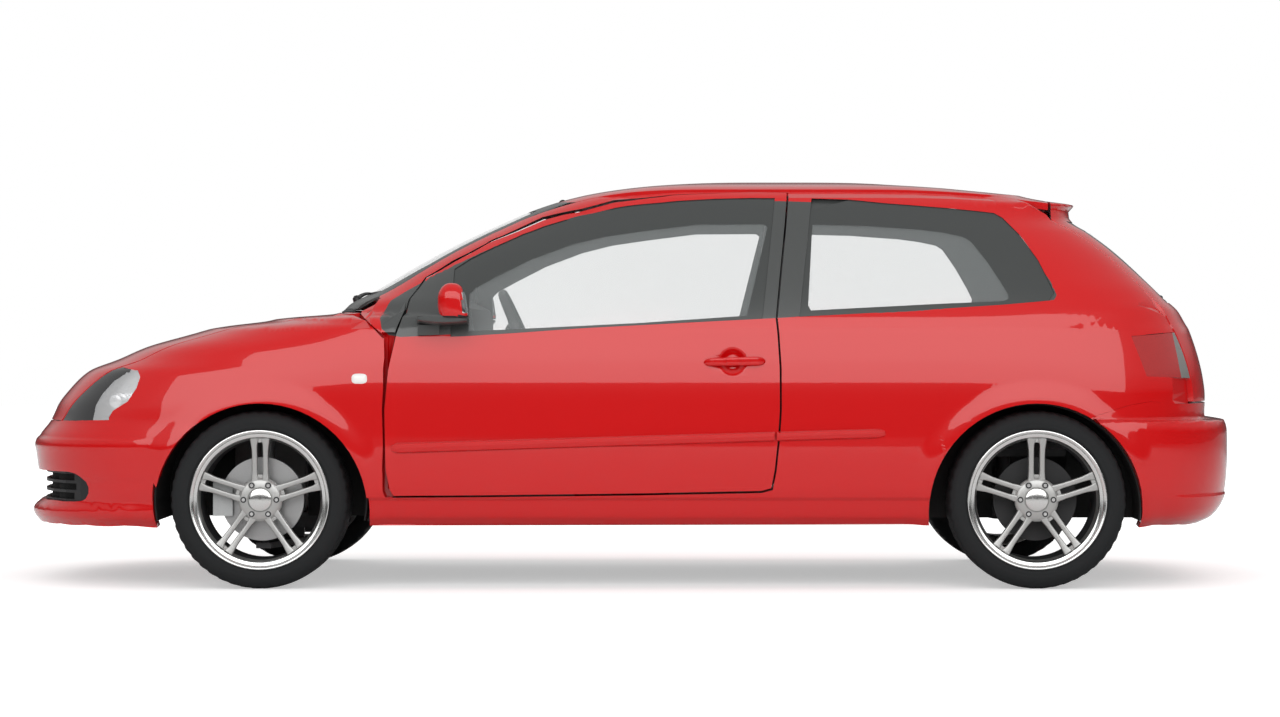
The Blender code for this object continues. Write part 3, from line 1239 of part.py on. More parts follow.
def knuckle():
    """The left steering knuckle: upright, spindle, strut and brake caliper."""
    x, z = FRONT_AXLE_X, TYRE_RADIUS
    part = box((x - UPRIGHT[0], -(SPINDLE_END_Y - DISC_WIDTH * 0.9), z - UPRIGHT[1]),
               (x + UPRIGHT[0], -(SPINDLE_END_Y - DISC_WIDTH * 2.4), z + UPRIGHT[0]), "knuckle_left", STEEL)
    join(
        part,
        rod((x, -(SPINDLE_END_Y - DISC_WIDTH * 1.5), z), (x, -SPINDLE_END_Y, z), SPINDLE_RADIUS, 24),
        box((x - STRUT_RADIUS, -(SPINDLE_END_Y - DISC_WIDTH * 1.5), z + UPRIGHT[0] / 2),
            (x + STRUT_RADIUS, -(STRUT_Y - STRUT_RADIUS / 2), z + UPRIGHT[0] * 0.9)),
        rod((x, -STRUT_Y, z + UPRIGHT[0] / 3), (x, -STRUT_Y, KINGPIN_TOP[1] - STRUT_RADIUS), STRUT_RADIUS, 20),
        kingpin_pin(KINGPIN_TOP[1] - STRUT_RADIUS * 2, KINGPIN_TOP[1]),
        kingpin_pin(KINGPIN_FOOT[1], z - UPRIGHT[1] * 0.5),
    )
    inner, outer, half = CALIPER
    y_in, y_out = DISC_FACE_Y - DISC_WIDTH * 1.75, DISC_FACE_Y + DISC_WIDTH * 1.1
    caliper = box((x - outer, -y_out, z - half), (x - inner, -y_in, z + half))
    boolean_tool = rod((x, -(DISC_FACE_Y + DISC_WIDTH * 0.3), z), (x, -(DISC_FACE_Y - DISC_WIDTH * 1.3), z),
                       DISC_RADIUS + DISC_WIDTH / 4, 20)
    caliper.data.materials.append(STEEL)
    cut(caliper, boolean_tool)
    join(
        part, caliper,
        box((x - inner * 1.1, -(y_in + DISC_WIDTH * 0.35), z - half * 0.6),
            (x - UPRIGHT[0] * 0.8, -y_in, z + half * 0.6)),
    )
    return part


SUBFRAME = (0.30, TRACK / 2 - 0.355, 0.055)
ARM_WIDTH = 0.075


def front_subframe():
    """The front cross member with the two lower arms that reach the steering knuckles' feet."""
    x = FRONT_AXLE_X
    length, half, tall = SUBFRAME
    low = UNDERSIDE_Z - tall / 2
    beam = box((x - length * 0.35, -half, low), (x + length * 0.65, half, low + tall), "front_subframe", STEEL)
    for side in (-1, 1):
        foot_y, foot_z = KINGPIN_FOOT[0] * side * -1, KINGPIN_FOOT[1]
        arm = prism(
            "z",
            [(x - ARM_WIDTH * 0.35, foot_y + side * ARM_WIDTH * 0.3), (x + ARM_WIDTH * 0.35, foot_y + side * ARM_WIDTH * 0.3),
             (x + ARM_WIDTH * 1.6, side * half * 0.9), (x - ARM_WIDTH * 0.7, side * half * 0.9)],
            foot_z - ARM_WIDTH * 0.62, foot_z - ARM_WIDTH * 0.35,
        )
        join(beam, arm)
        lean = (KINGPIN_TOP[0] - KINGPIN_FOOT[0]) / (KINGPIN_TOP[1] - KINGPIN_FOOT[1])
        drop = SEAT_GAP * 1.2
        base = foot_z - ARM_WIDTH * 0.5
        join(beam, rod(
            (x, foot_y - side * lean * (base - foot_z) * 1, base), (x, foot_y + side * lean * drop, foot_z - drop),
            KINGPIN_RADIUS, 16,
        ))
        join(beam, box((x - ARM_WIDTH * 0.6, side * half * 0.9 - SKIN, foot_z - ARM_WIDTH * 0.62),
                       (x + ARM_WIDTH * 1.4, side * half * 0.9 + SKIN, low + tall / 2)))
    return beam


def strut_mounts(liner):
    """The strut's top mount, hanging from the wheel house's roof on the steering axis."""
    top = FRONT_LINER[1] + ARCH_RADIUS - LINER_WALL / 2
    gap = KINGPIN_TOP[1] + SEAT_GAP * 1.2
    return join(liner, kingpin_pin(gap, top, KINGPIN_RADIUS * 1.2))


AXLE_TUBE = 0.035
REAR_BEAM_AHEAD = 0.25


def rear_axle():
    """The rear torsion beam with its trailing arms and wheel spindles."""
    x, z = REAR_AXLE_X, TYRE_RADIUS
    beam_x, beam_z = x - REAR_BEAM_AHEAD, z - AXLE_TUBE
    arm_y = REAR_LINER_INNER_Y - AXLE_TUBE * 1.6
    beam = rod((beam_x, -arm_y, beam_z), (beam_x, arm_y, beam_z), AXLE_TUBE, 20, "rear_axle", STEEL)
    for side in (-1, 1):
        y = side * arm_y
        arm = box((beam_x - AXLE_TUBE * 3.2, y - AXLE_TUBE * 0.7, beam_z - AXLE_TUBE * 0.9),
                  (x + AXLE_TUBE * 1.6, y + AXLE_TUBE * 0.7, beam_z + AXLE_TUBE * 0.9))
        spindle = rod((x, y, z), (x, side * SPINDLE_END_Y, z), SPINDLE_RADIUS, 24)
        spring = rod((x, y, beam_z), (x, y, REAR_FLOOR_Z - SEAT_GAP), AXLE_TUBE * 0.8, 20)
        join(beam, arm, spindle, spring)
    return beam


REAR_FLOOR_Z = level(0.50)
FIREWALL_X = PILLAR_FRONT_X - FLOOR_SHEET - SEAT_GAP
FLOOR_HALF = SILL_INNER_Y - SEAT_GAP
FLOOR_SHARES = ((1.84, 0), (1.885, 1), (2.78, 1))


def floor_pan():
    """Bulkhead, cabin floor, kick-up and boot floor in one sheet."""
    low = [(FIREWALL_X, level(0.98)), (FIREWALL_X, FLOOR_Z + FLOOR_SHEET * 2), (FIREWALL_X + FLOOR_SHEET * 2, FLOOR_Z)]
    rise = [(station(s), FLOOR_Z + (REAR_FLOOR_Z - FLOOR_Z) * t) for s, t in FLOOR_SHARES]
    line = low + rise + [(station(2.80), REAR_FLOOR_Z), (station(2.80), REAR_FLOOR_Z + FLOOR_SHEET * 4)]
    line.pop(-3)
    inner = []
    for i, here in enumerate(line):
        before = line[max(0, i - 1)]
        after = line[min(len(line) - 1, i + 1)]
        way = (Vector(after) - Vector(here)).normalized() if after != here else Vector((0, 0))
        come = (Vector(here) - Vector(before)).normalized() if before != here else way
        way = way if way.length else come
        normal = (Vector((-come.y, come.x)) + Vector((-way.y, way.x)))
        normal *= 1 / max(0.5, normal.length_squared / 2)
        inner.append((here[0] + normal.x * FLOOR_SHEET, here[1] + normal.y * FLOOR_SHEET))
    pan = prism("y", line + list(reversed(inner)), -FLOOR_HALF, FLOOR_HALF, "floor_pan", TRIM)
    for side in (-1, 1):
        for arch, inner in ((FRONT_LINER, FRONT_LINER_INNER_Y), (REAR_ARCH, REAR_LINER_INNER_Y)):
            cut(pan, rod((arch[0], side * (inner - SEAT_GAP), arch[1]), (arch[0], side * HALF_WIDTH * 1.2, arch[1]),
                         ARCH_RADIUS + SEAT_GAP, ARCH_SIDES))
    rim_line = [(tail_x(y, level(0.50)) - BUMPER_DEPTH * 1.8, y) for y in spread(-FLOOR_HALF, FLOOR_HALF, 12)]
    cut(pan, prism("z", rim_line + [(station(3.2), FLOOR_HALF), (station(3.2), -FLOOR_HALF)], 0, HEIGHT))
    return pan


def seat(name, x, y, width, length, back_rake, top, base):
    """A plain seat: cushion and raked back in one extruded outline, with rounded edges."""
    thick = length * 0.27
    outline = [
        (x, base), (x + length * 0.98, base), (x + length * 0.98 + back_rake + thick * 0.4, top),
        (x + length * 0.98 + back_rake - thick * 0.35, top), (x + length * 0.98 - thick * 0.75, base + thick * 1.25),
        (x, base + thick * 1.45),
    ]
    bm = bmesh.new()
    verts = [bm.verts.new((px, y - width / 2, pz)) for px, pz in outline]
    face = bm.faces.new(verts)
    result = bmesh.ops.extrude_face_region(bm, geom=[face], use_keep_orig=True)
    moved = [item for item in result["geom"] if isinstance(item, bmesh.types.BMVert)]
    bmesh.ops.translate(bm, vec=(0, width, 0), verts=moved)
    bmesh.ops.recalc_face_normals(bm, faces=bm.faces[:])
    bmesh.ops.bevel(bm, geom=bm.edges[:], offset=thick * 0.2, segments=2, profile=0.5, affect="EDGES")
    made = new_object(name, bm, CABIN)
    foot = box((x + length * 0.15, y - width * 0.3, FLOOR_Z + FLOOR_SHEET + SEAT_GAP),
               (x + length * 0.70, y + width * 0.3, base + thick * 0.3))
    return join(made, foot)


DASH_SHARES = ((1.138, 1.03), (1.145, 0.78), (1.175, 0.74), (1.262, 0.78), (1.275, 0.95), (1.268, 1.13), (1.245, 1.19),
               (1.205, 1.15), (1.162, 1.04))


def dashboard():
    """The dashboard, one extruded outline between the pillars."""
    outline = side_outline(DASH_SHARES)
    half = PILLAR_INNER_Y - SEAT_GAP
    dash = prism("y", outline, -half, half, "dashboard", CABIN)
    boss_start, boss_end = (
        STEERING_PLACE @ Vector((0, 0, -COLUMN_LENGTH - reach)) for reach in (COLUMN_BOSS, SEAT_GAP)
    )
    return join(dash, rod(boss_start, boss_end, STEERING_RIM * 1.9, 16))


WHEEL_CENTRE = (station(1.332), -HALF_WIDTH * 0.4205, level(0.955))
STEERING_WHEEL_RADIUS = 0.185
STEERING_RIM = 0.015
COLUMN_RAKE = 24


def steering_wheel():
    """The steering wheel: rim, hub, three spokes and the stub of its column."""
    bm = bmesh.new()
    profile = []
    for turn in range(8):
        a = math.tau * turn / 8
        profile.append(bm.verts.new((STEERING_WHEEL_RADIUS + STEERING_RIM * math.cos(a), 0, STEERING_RIM * math.sin(a))))
    edges = [bm.edges.new((a, b)) for a, b in zip(profile, profile[1:] + profile[:1])]
    bmesh.ops.spin(bm, geom=profile + edges, cent=(0, 0, 0), axis=(0, 0, 1), angle=math.tau, steps=28,
                   use_merge=True, use_duplicate=False)
    wheel = new_object("steering_wheel", bm, CABIN)
    join(wheel, rod((0, 0, -STEERING_RIM * 3), (0, 0, STEERING_RIM), STEERING_WHEEL_RADIUS * 0.36, 20))
    for turn in (0, 180, 270):
        a = math.radians(turn)
        bar = box((0, -STEERING_RIM, -STEERING_RIM * 0.7), (STEERING_WHEEL_RADIUS, STEERING_RIM, 0))
        bar.data.transform(Matrix.Rotation(a, 4, "Z"))
        join(wheel, bar)
    join(wheel, rod((0, 0, -COLUMN_LENGTH), (0, 0, -STEERING_RIM), STEERING_RIM * 1.6, 16))
    wheel.data.transform(STEERING_PLACE)
    return wheel


COLUMN_LENGTH = 0.150
COLUMN_BOSS = 0.045
STEERING_PLACE = (
    Matrix.Translation(WHEEL_CENTRE)
    @ Matrix.Rotation(math.radians(90 - COLUMN_RAKE), 4, "Y")
)

ENGINE_BACK = 0.30
ENGINE_FRONT = 0.105
ENGINE_HALF = 0.30
ENGINE_TOP_LEVEL_SHARE = 0.822


def engine_block():
    """The engine as one plain block, at its place above the subframe."""
    return box((FRONT_AXLE_X - ENGINE_BACK, -ENGINE_HALF, UNDERSIDE_Z + SUBFRAME[2] / 2 + SEAT_GAP),
               (FRONT_AXLE_X + ENGINE_FRONT, ENGINE_HALF, level(ENGINE_TOP_LEVEL_SHARE)), "engine_block", STEEL)


def exhaust():
    """The silencer and tailpipe under the boot."""
    x = station(2.55)
    can = rod((x, 0.10, level(0.36)), (x, 0.45, level(0.36)), 0.085, 20, "exhaust", STEEL)
    join(can, rod((x, 0.38, level(0.34)), (station(2.80), 0.38, level(0.32)), 0.026, 16),
         box((x - SKIN, 0.2, level(0.36)), (x + SKIN, 0.2 + 2 * SKIN, REAR_FLOOR_Z - SEAT_GAP)))
    return can


def cowl_panel():
    """The dark panel between bonnet and windscreen."""
    low = HOOD_REAR_LEVEL_SHARE + 0.010
    high = WINDSCREEN_FOOT_LEVEL_SHARE - SEAT_GAP / BELT_HEIGHT * 2
    return cross_sheet(
        "cowl_panel", WINDSCREEN_EDGE, [low, (low + high) / 2, high], 12, nose_point,
        lambda point, u, v: point - Vector((0, 0, FRAME_DEPTH / 2)), TRIM, inset=COWL_INSET,
    )


COWL_INSET = 0.012


def build():
    """Makes every piece, the left ones first and then their mirror images."""
    left = {
        "side_frame": hood_pin(side_frame()),
        "fender": fender(),
        "door": door(),
        "door_glass": pane("door_glass_left", DOOR_WINDOW, spread(station(1.23), station(1.68), 9),
                           degrees(17, 57, 7)),
        "quarter_glass": pane("quarter_glass_left", QUARTER_WINDOW, spread(station(1.68), station(2.11), 8),
                              degrees(20, 57, 6)),
        "headlamp": headlamp(),
        "tail_lamp": tail_lamp(),
        "mirror": mirror(),
        "front_liner": strut_mounts(arch_liner(
            "front_liner_left", FRONT_LINER, FRONT_LINER_INNER_Y, FRONT_LINER_OUTER_Y, LINER_WINDOW,
        )),
        "rear_liner": arch_liner("rear_liner_left", REAR_ARCH, REAR_LINER_INNER_Y, LINER_OUTER_Y, LINER_WINDOW),
        "knuckle": knuckle(),
        "front_seat": seat("front_seat_left", station(1.36), -0.36, 0.50, 0.50, 0.13, level(1.0), level(0.40)),
    }
    for kind, made in left.items():
        tidy(made)
        mirrored(made, f"{kind}_right")
    whole = [
        roof(), hood(), windscreen(), tailgate(), rear_glass(), bumper("front_bumper", True),
        bumper("rear_bumper", False), lower_grille(), cowl_panel(), floor_pan(), dashboard(), steering_wheel(),
        seat("rear_seat", station(1.695), 0, 1.14, 0.50, 0.14, level(1.0), level(0.56)),
        engine_block(), front_subframe(), rear_axle(), exhaust(),
    ]
    for made in whole:
        tidy(made)
    wheels()


build()
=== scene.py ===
"""Looks of a red three-door hatchback car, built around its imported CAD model.

The painted panels, glass and lamps are the CAD solids with their skins refined onto the body's smooth form.
The wheels, trim, fittings and seats are modelled here. Metres, +Z up, nose towards -X, the car's left at -Y.
"""

import json
import logging
import math
from collections.abc import Callable
from dataclasses import dataclass, field
from enum import Enum

import bmesh
import bpy
import numpy as np
from mathutils import Matrix, Vector

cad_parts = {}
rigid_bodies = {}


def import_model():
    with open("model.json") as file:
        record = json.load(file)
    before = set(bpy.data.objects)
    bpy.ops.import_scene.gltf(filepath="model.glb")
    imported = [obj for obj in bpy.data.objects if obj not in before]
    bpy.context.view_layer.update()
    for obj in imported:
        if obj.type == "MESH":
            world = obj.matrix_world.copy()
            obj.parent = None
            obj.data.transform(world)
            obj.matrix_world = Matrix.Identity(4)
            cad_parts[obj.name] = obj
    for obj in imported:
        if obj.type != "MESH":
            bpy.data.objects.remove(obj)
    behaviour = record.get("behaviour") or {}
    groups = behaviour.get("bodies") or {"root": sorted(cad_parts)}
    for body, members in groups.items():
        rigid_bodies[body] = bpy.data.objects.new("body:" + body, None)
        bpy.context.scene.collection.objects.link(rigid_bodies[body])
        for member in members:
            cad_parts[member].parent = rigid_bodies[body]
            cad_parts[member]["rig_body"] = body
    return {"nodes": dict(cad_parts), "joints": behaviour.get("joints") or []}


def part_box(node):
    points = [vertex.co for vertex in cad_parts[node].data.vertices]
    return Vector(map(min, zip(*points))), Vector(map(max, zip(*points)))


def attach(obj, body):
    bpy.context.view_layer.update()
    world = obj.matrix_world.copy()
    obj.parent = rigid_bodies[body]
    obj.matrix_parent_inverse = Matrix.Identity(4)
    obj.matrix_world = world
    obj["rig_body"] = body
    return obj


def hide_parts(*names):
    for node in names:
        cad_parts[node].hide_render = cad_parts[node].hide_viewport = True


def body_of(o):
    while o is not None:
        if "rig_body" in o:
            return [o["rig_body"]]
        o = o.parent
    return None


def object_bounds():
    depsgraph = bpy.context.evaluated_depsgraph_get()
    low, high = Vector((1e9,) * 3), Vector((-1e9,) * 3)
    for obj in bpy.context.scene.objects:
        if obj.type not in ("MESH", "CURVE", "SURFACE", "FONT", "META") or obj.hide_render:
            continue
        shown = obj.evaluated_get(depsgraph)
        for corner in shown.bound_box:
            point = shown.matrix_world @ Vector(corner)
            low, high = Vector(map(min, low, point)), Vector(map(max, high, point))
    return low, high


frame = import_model()
CAD_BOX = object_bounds()
LOG = logging.getLogger("hatchback")


class Side(Enum):
    """The two sides of the car, with the sign of their Y."""

    LEFT = -1
    RIGHT = 1

    @property
    def word(self) -> str:
        """The side's word in a node's name."""
        return self.name.lower()


def joint_place(name: str) -> Vector:
    """Where a joint of the frame is.

    Args:
        name: The joint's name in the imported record.

    Returns:
        The joint's point.
    """
    return Vector(next(j["pos_m"] for j in frame["joints"] if j["name"] == name))


class View(Enum):
    """The direction that an outline is drawn from, by the axis that it leaves out."""

    SIDE = (0, 2)
    FRONT = (1, 2)


class Curve:
    """A cubic through points that never overshoots them, worked out for whole arrays."""

    def __init__(self, points: tuple[tuple[float, float], ...]) -> None:
        """Keeps the points and works out a slope at each.

        Args:
            points: The curve's points, as pairs of x and value.
        """
        self.xs, self.ys = np.array(points, float).T
        steps = np.diff(self.ys) / np.diff(self.xs)
        before, after = steps[:-1], steps[1:]
        product, total = before * after, before + after
        inner = np.where(product > 0, 2 * product / np.where(total == 0, 1, total), 0)
        self.slopes = np.concatenate(([steps[0]], inner, [steps[-1]]))

    def __call__(self, x: np.ndarray) -> np.ndarray:
        """The curve's values at x.

        Args:
            x: Where the values are wanted.

        Returns:
            The values.
        """
        x = np.clip(x, self.xs[0], self.xs[-1])
        i = np.clip(np.searchsorted(self.xs, x, side="right") - 1, 0, len(self.xs) - 2)
        span = self.xs[i + 1] - self.xs[i]
        t = (x - self.xs[i]) / span
        return (
            self.ys[i] * (1 + 2 * t) * (1 - t) ** 2 + self.slopes[i] * span * t * (1 - t) ** 2
            + self.ys[i + 1] * t * t * (3 - 2 * t) + self.slopes[i + 1] * span * t * t * (t - 1)
        )


def smooth_step(value: np.ndarray, low: float, high: float) -> np.ndarray:
    """A soft step from 0 at low to 1 at high."""
    t = np.clip((value - low) / (high - low), 0, 1)
    return t * t * (3 - 2 * t)


@dataclass
class BodyForm:
    """The body's smooth outer form, as shares of the CAD model's own sizes.

    A station share runs 0 to 1 from the nose to the front axle, 1 to 2 between the axles and 2 to 3 from
    there to the tail. A level share runs 0 to 1 from the ground to the belt line and 1 to 2 up to the roof.
    """

    front_axle: Vector = field(default_factory=lambda: joint_place("wheel_spin_front_left"))
    rear_axle: Vector = field(default_factory=lambda: joint_place("wheel_spin_rear_left"))
    body_half: float = -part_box("side_frame_left")[0][1]
    height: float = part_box("roof")[1][2]
    belt: float = 0.90
    arch_radius: float = 0.370
    arch_drop: float = 0.036
    arch_shift: float = 0.0058
    flare: float = 0.007
    flare_width: float = 0.085
    sill_crease: float = 0.319
    sill_tuck: float = 0.006
    front_crease: float = 0.515
    rear_crease: float = 0.318
    crease_step: float = 0.005
    cup: tuple[float, float] = (0.3675, 0.785)
    cup_radius: float = 0.052
    cup_depth: float = 0.016
    cup_floor: float = 0.45
    cup_margin: float = 1.15
    side_span: tuple[float, float] = (0.55, 0.75)
    sill_round: float = 0.014
    sill_top: float = 0.36
    front_crease_span: tuple[float, float] = (0.55, 0.35)
    front_crease_round: tuple[float, float] = (0.008, 0.006)
    rear_crease_span: tuple[float, float] = (0.42, 0.55)
    rear_crease_round: float = 0.006
    crease_clear: float = 0.30
    crease_reach: float = 0.016
    flare_middle: float = 0.03
    flare_reach: float = 0.07
    edge_plain: float = 0.034
    edge_flare: float = 0.016
    edge_crease: float = 0.012
    edge_cup: float = 0.007
    nose_shares: tuple[tuple[float, float], ...] = (
        (0.2233, 0.0373), (0.2856, 0.0011), (0.3333, 0.0418), (0.4000, 0.0395), (0.4300, 0.0271),
        (0.5178, 0.0147), (0.5400, 0.0102), (0.5817, 0.0282), (0.6333, 0.0689), (0.7044, 0.1050),
        (0.7589, 0.1491), (0.8089, 0.1988), (0.8361, 0.2383), (0.8767, 0.3490), (0.9289, 0.4778),
        (0.9744, 0.6438), (1.0188, 0.8109), (1.0535, 0.9770), (1.0741, 1.0200), (1.1032, 1.0840),
        (1.1707, 1.1021), (1.2402, 1.1294), (1.4053, 1.1842), (1.5572, 1.2393), (1.6886, 1.2940),
        (1.8068, 1.3488), (1.8893, 1.4042), (1.9381, 1.4586), (1.9794, 1.5409), (1.9962, 1.6232),
        (2.0000, 1.6649),
    )
    tail_shares: tuple[tuple[float, float], ...] = (
        (0.2233, 2.8208), (0.2656, 2.9248), (0.3133, 2.9692), (0.3556, 2.9877), (0.4572, 2.9986),
        (0.5472, 2.9993), (0.5956, 2.9986), (0.6406, 2.9836), (0.6496, 2.8954), (0.6607, 2.8892),
        (0.7367, 2.8906), (0.8018, 2.8817), (0.8722, 2.8632), (0.9833, 2.8201), (1.0113, 2.8058),
        (1.1212, 2.7545), (1.1895, 2.6977), (1.2795, 2.6321), (1.5178, 2.4515), (1.6360, 2.3421),
        (1.7411, 2.2340), (1.7842, 2.2313), (1.8265, 2.2559), (1.8548, 2.1260), (1.8818, 2.0256),
        (1.9169, 1.9520), (1.9447, 1.8973), (1.9653, 1.8425), (1.9859, 1.7874), (1.9925, 1.7327),
        (2.0000, 1.6649),
    )
    width_shares: tuple[tuple[float, float], ...] = (
        (0.2389, 0.9091), (0.2778, 0.9489), (0.3222, 0.9659), (0.3889, 0.9864), (0.5556, 1.0000),
        (0.7222, 0.9977), (0.8667, 0.9864), (0.9778, 0.9659), (1.0563, 0.9489), (1.1876, 0.9148),
        (1.3752, 0.8580), (1.5629, 0.7955), (1.7505, 0.7216), (1.8630, 0.6648), (1.9006, 0.6307),
        (1.9381, 0.5682), (1.9568, 0.5114), (1.9756, 0.4091), (1.9906, 0.2841), (1.9991, 0.1136),
        (2.0000, 0.0100),
    )
    nose_cap_shares: tuple[tuple[float, float], ...] = (
        (0.22, 1.14), (0.55, 1.36), (0.83, 1.30), (1.0, 1.25), (1.19, 1.25), (1.56, 1.05), (1.75, 0.90),
        (1.90, 0.68), (2.0, 0.30),
    )
    tail_cap_shares: tuple[tuple[float, float], ...] = (
        (0.22, 1.37), (0.90, 1.50), (1.19, 1.45), (1.56, 1.37), (1.75, 1.30), (1.90, 1.0), (2.0, 0.4),
    )
    nose_squareness_shares: tuple[tuple[float, float], ...] = (
        (0.22, 3.1), (0.80, 3.3), (1.0, 4.2), (1.2, 5.0), (2.0, 5.0),
    )
    tail_squareness_shares: tuple[tuple[float, float], ...] = (
        (0.22, 4.0), (1.0, 4.2), (1.3, 5.0), (2.0, 5.0),
    )

    def __post_init__(self) -> None:
        """Works out the curves and the ends of the car."""
        self.nose_line, self.tail_line = Curve(self.nose_shares), Curve(self.tail_shares)
        self.width_line = Curve(self.width_shares)
        self.nose_cap, self.tail_cap = Curve(self.nose_cap_shares), Curve(self.tail_cap_shares)
        self.nose_power = Curve(self.nose_squareness_shares)
        self.tail_power = Curve(self.tail_squareness_shares)
        self.wheelbase = self.rear_axle.x - self.front_axle.x
        self.nose = CAD_BOX[0].x
        self.tail = CAD_BOX[1].x
        self.front_overhang = self.front_axle.x - self.nose
        self.rear_overhang = self.tail - self.rear_axle.x
        wheel_z = self.front_axle.z
        self.arches = [
            (self.front_axle.x + self.arch_shift, wheel_z - self.arch_drop),
            (self.rear_axle.x - self.arch_shift, wheel_z - self.arch_drop),
        ]

    def station(self, share: np.ndarray) -> np.ndarray:
        """X of station shares.

        Args:
            share: Station shares from 0 to 3.

        Returns:
            Their X.
        """
        return np.where(
            share < 1, self.nose + share * self.front_overhang,
            np.where(share < 2, self.front_axle.x + (share - 1) * self.wheelbase,
                     self.rear_axle.x + (share - 2) * self.rear_overhang),
        )

    def fullness(self, p: np.ndarray) -> np.ndarray:
        """Below zero inside the form, zero on it and above zero outside, for rows of points.

        Args:
            p: Rows of points.

        Returns:
            One value for each point.
        """
        x, y, z = p.T
        share = np.where(z < self.belt, z / self.belt, 1 + (z - self.belt) / (self.height - self.belt))
        nose, tail = self.station(self.nose_line(share)), self.station(self.tail_line(share))
        room = (tail - nose) * 0.48
        nose_depth = np.minimum(self.nose_cap(share) * self.front_overhang, room)
        tail_depth = np.minimum(self.tail_cap(share) * self.rear_overhang, room)
        front = np.clip((nose + nose_depth - x) / nose_depth, 0, None)
        back = np.clip((x - tail + tail_depth) / tail_depth, 0, None)
        at_back = back > 0
        power = np.where(at_back, self.tail_power(share), self.nose_power(share))
        reach = np.where(at_back, back, front)
        return reach ** power + (np.abs(y) / (self.width_line(share) * self.body_half)) ** power - 1

    def slope(self, form: Callable[[np.ndarray], np.ndarray], p: np.ndarray,
              probe: float = 0.0015) -> np.ndarray:
        """Gradient of a form at rows of points, by small differences.

        Args:
            form: The form, a function of rows of points.
            p: Rows of points.
            probe: Half the step of the differences.

        Returns:
            Rows of gradients.
        """
        rows = []
        for axis in range(3):
            step = np.zeros(3)
            step[axis] = probe
            rows.append((form(p + step) - form(p - step)) / (2 * probe))
        return np.stack(rows, axis=1)

    def detail(self, p: np.ndarray) -> np.ndarray:
        """How far the skin stands out of the plain form: flares, the sill's tuck, creases and handle cups.

        Args:
            p: Rows of points.

        Returns:
            One distance for each point.
        """
        x, y, z = p.T
        out = np.zeros(len(p))
        on_side = smooth_step(np.abs(y), *(share * self.body_half for share in self.side_span))
        for centre_x, centre_z in self.arches:
            reach = np.hypot(x - centre_x, z - centre_z) - self.arch_radius
            out += self.flare * (1 - smooth_step(reach, 0, self.flare_width)) * on_side
        front, rear = (centre_x for centre_x, _ in self.arches)
        between = smooth_step(x, front, front + self.arch_radius) * (
            1 - smooth_step(x, rear - self.arch_radius, rear))
        fade = smooth_step(z, self.sill_crease - self.sill_round, self.sill_crease)
        out -= self.sill_tuck * (1 - fade) * between
        near, far = self.front_crease_span
        ahead = 1 - smooth_step(x, self.front_axle.x - near, self.front_axle.x - far)
        low, high = self.front_crease_round
        fade = smooth_step(z, self.front_crease - low, self.front_crease + high)
        out += self.crease_step * (1 - fade) * ahead
        near, far = self.rear_crease_span
        behind = smooth_step(x, self.rear_axle.x + near, self.rear_axle.x + far)
        soft = self.rear_crease_round
        fade = smooth_step(z, self.rear_crease - soft, self.rear_crease + soft)
        out += self.crease_step * (1 - fade) * behind
        bowl = np.hypot(x - self.cup[0], z - self.cup[1]) / self.cup_radius
        out -= self.cup_depth * (1 - smooth_step(bowl, self.cup_floor, 1)) * on_side
        return out

    def fine(self, p: np.ndarray) -> np.ndarray:
        """The longest edges that the skin may have at rows of points.

        Args:
            p: Rows of points.

        Returns:
            One length for each point.
        """
        x, _, z = p.T
        length = np.full(len(p), self.edge_plain)
        for centre_x, centre_z in self.arches:
            reach = np.hypot(x - centre_x, z - centre_z) - self.arch_radius - self.flare_middle
            length = np.where(np.abs(reach) < self.flare_reach, self.edge_flare, length)
        for height, where in (
            (self.sill_crease - self.sill_round / 2, z < self.sill_top),
            (self.front_crease, x < self.front_axle.x - self.crease_clear),
            (self.rear_crease, x > self.rear_axle.x + self.crease_clear),
        ):
            length = np.where((np.abs(z - height) < self.crease_reach) & where, self.edge_crease, length)
        bowl = np.hypot(x - self.cup[0], z - self.cup[1])
        return np.where(bowl < self.cup_radius * self.cup_margin, self.edge_cup, length)

    def distance(self, p: np.ndarray) -> np.ndarray:
        """About how far rows of points lie outside the detailed skin."""
        steep = np.linalg.norm(self.slope(self.fullness, p), axis=1)
        return self.fullness(p) / np.maximum(steep, 1e-6) - self.detail(p)

    def snapped(self, p: np.ndarray, inset: float = 0.0, detailed: bool = True) -> np.ndarray:
        """The points moved onto the skin, or a little inside it.

        Args:
            p: Rows of points near the skin.
            inset: How far inside the skin they end.
            detailed: Whether the flares and creases count.

        Returns:
            The moved points.
        """
        for _ in range(4):
            slope = self.slope(self.fullness, p)
            size = np.linalg.norm(slope, axis=1, keepdims=True)
            gap = self.distance(p) if detailed else self.fullness(p) / np.maximum(size[:, 0], 1e-6)
            p = p - slope / np.maximum(size, 1e-6) * np.clip(gap + inset, -0.02, 0.02)[:, None]
        return p

    def normals(self, p: np.ndarray) -> np.ndarray:
        """Outward normals of the skin at rows of points."""
        slope = self.slope(self.distance, p)
        return slope / np.maximum(np.linalg.norm(slope, axis=1, keepdims=True), 1e-9)

    def side_point(self, x: float, z: float, side: Side, out: float = 0.0) -> Vector:
        """The skin's point at a place seen from the side, moved outwards by a distance.

        Args:
            x: The place along the car.
            z: The place's height.
            side: The side of the car.
            out: How far out of the skin it ends.

        Returns:
            The point.
        """
        low, high = 0.0, self.body_half * 1.1
        for _ in range(40):
            middle = (low + high) / 2
            if self.distance(np.array([[x, middle, z]]))[0] < 0:
                low = middle
            else:
                high = middle
        point = np.array([[x, low * side.value, z]])
        return Vector(point[0] + self.normals(point)[0] * out)


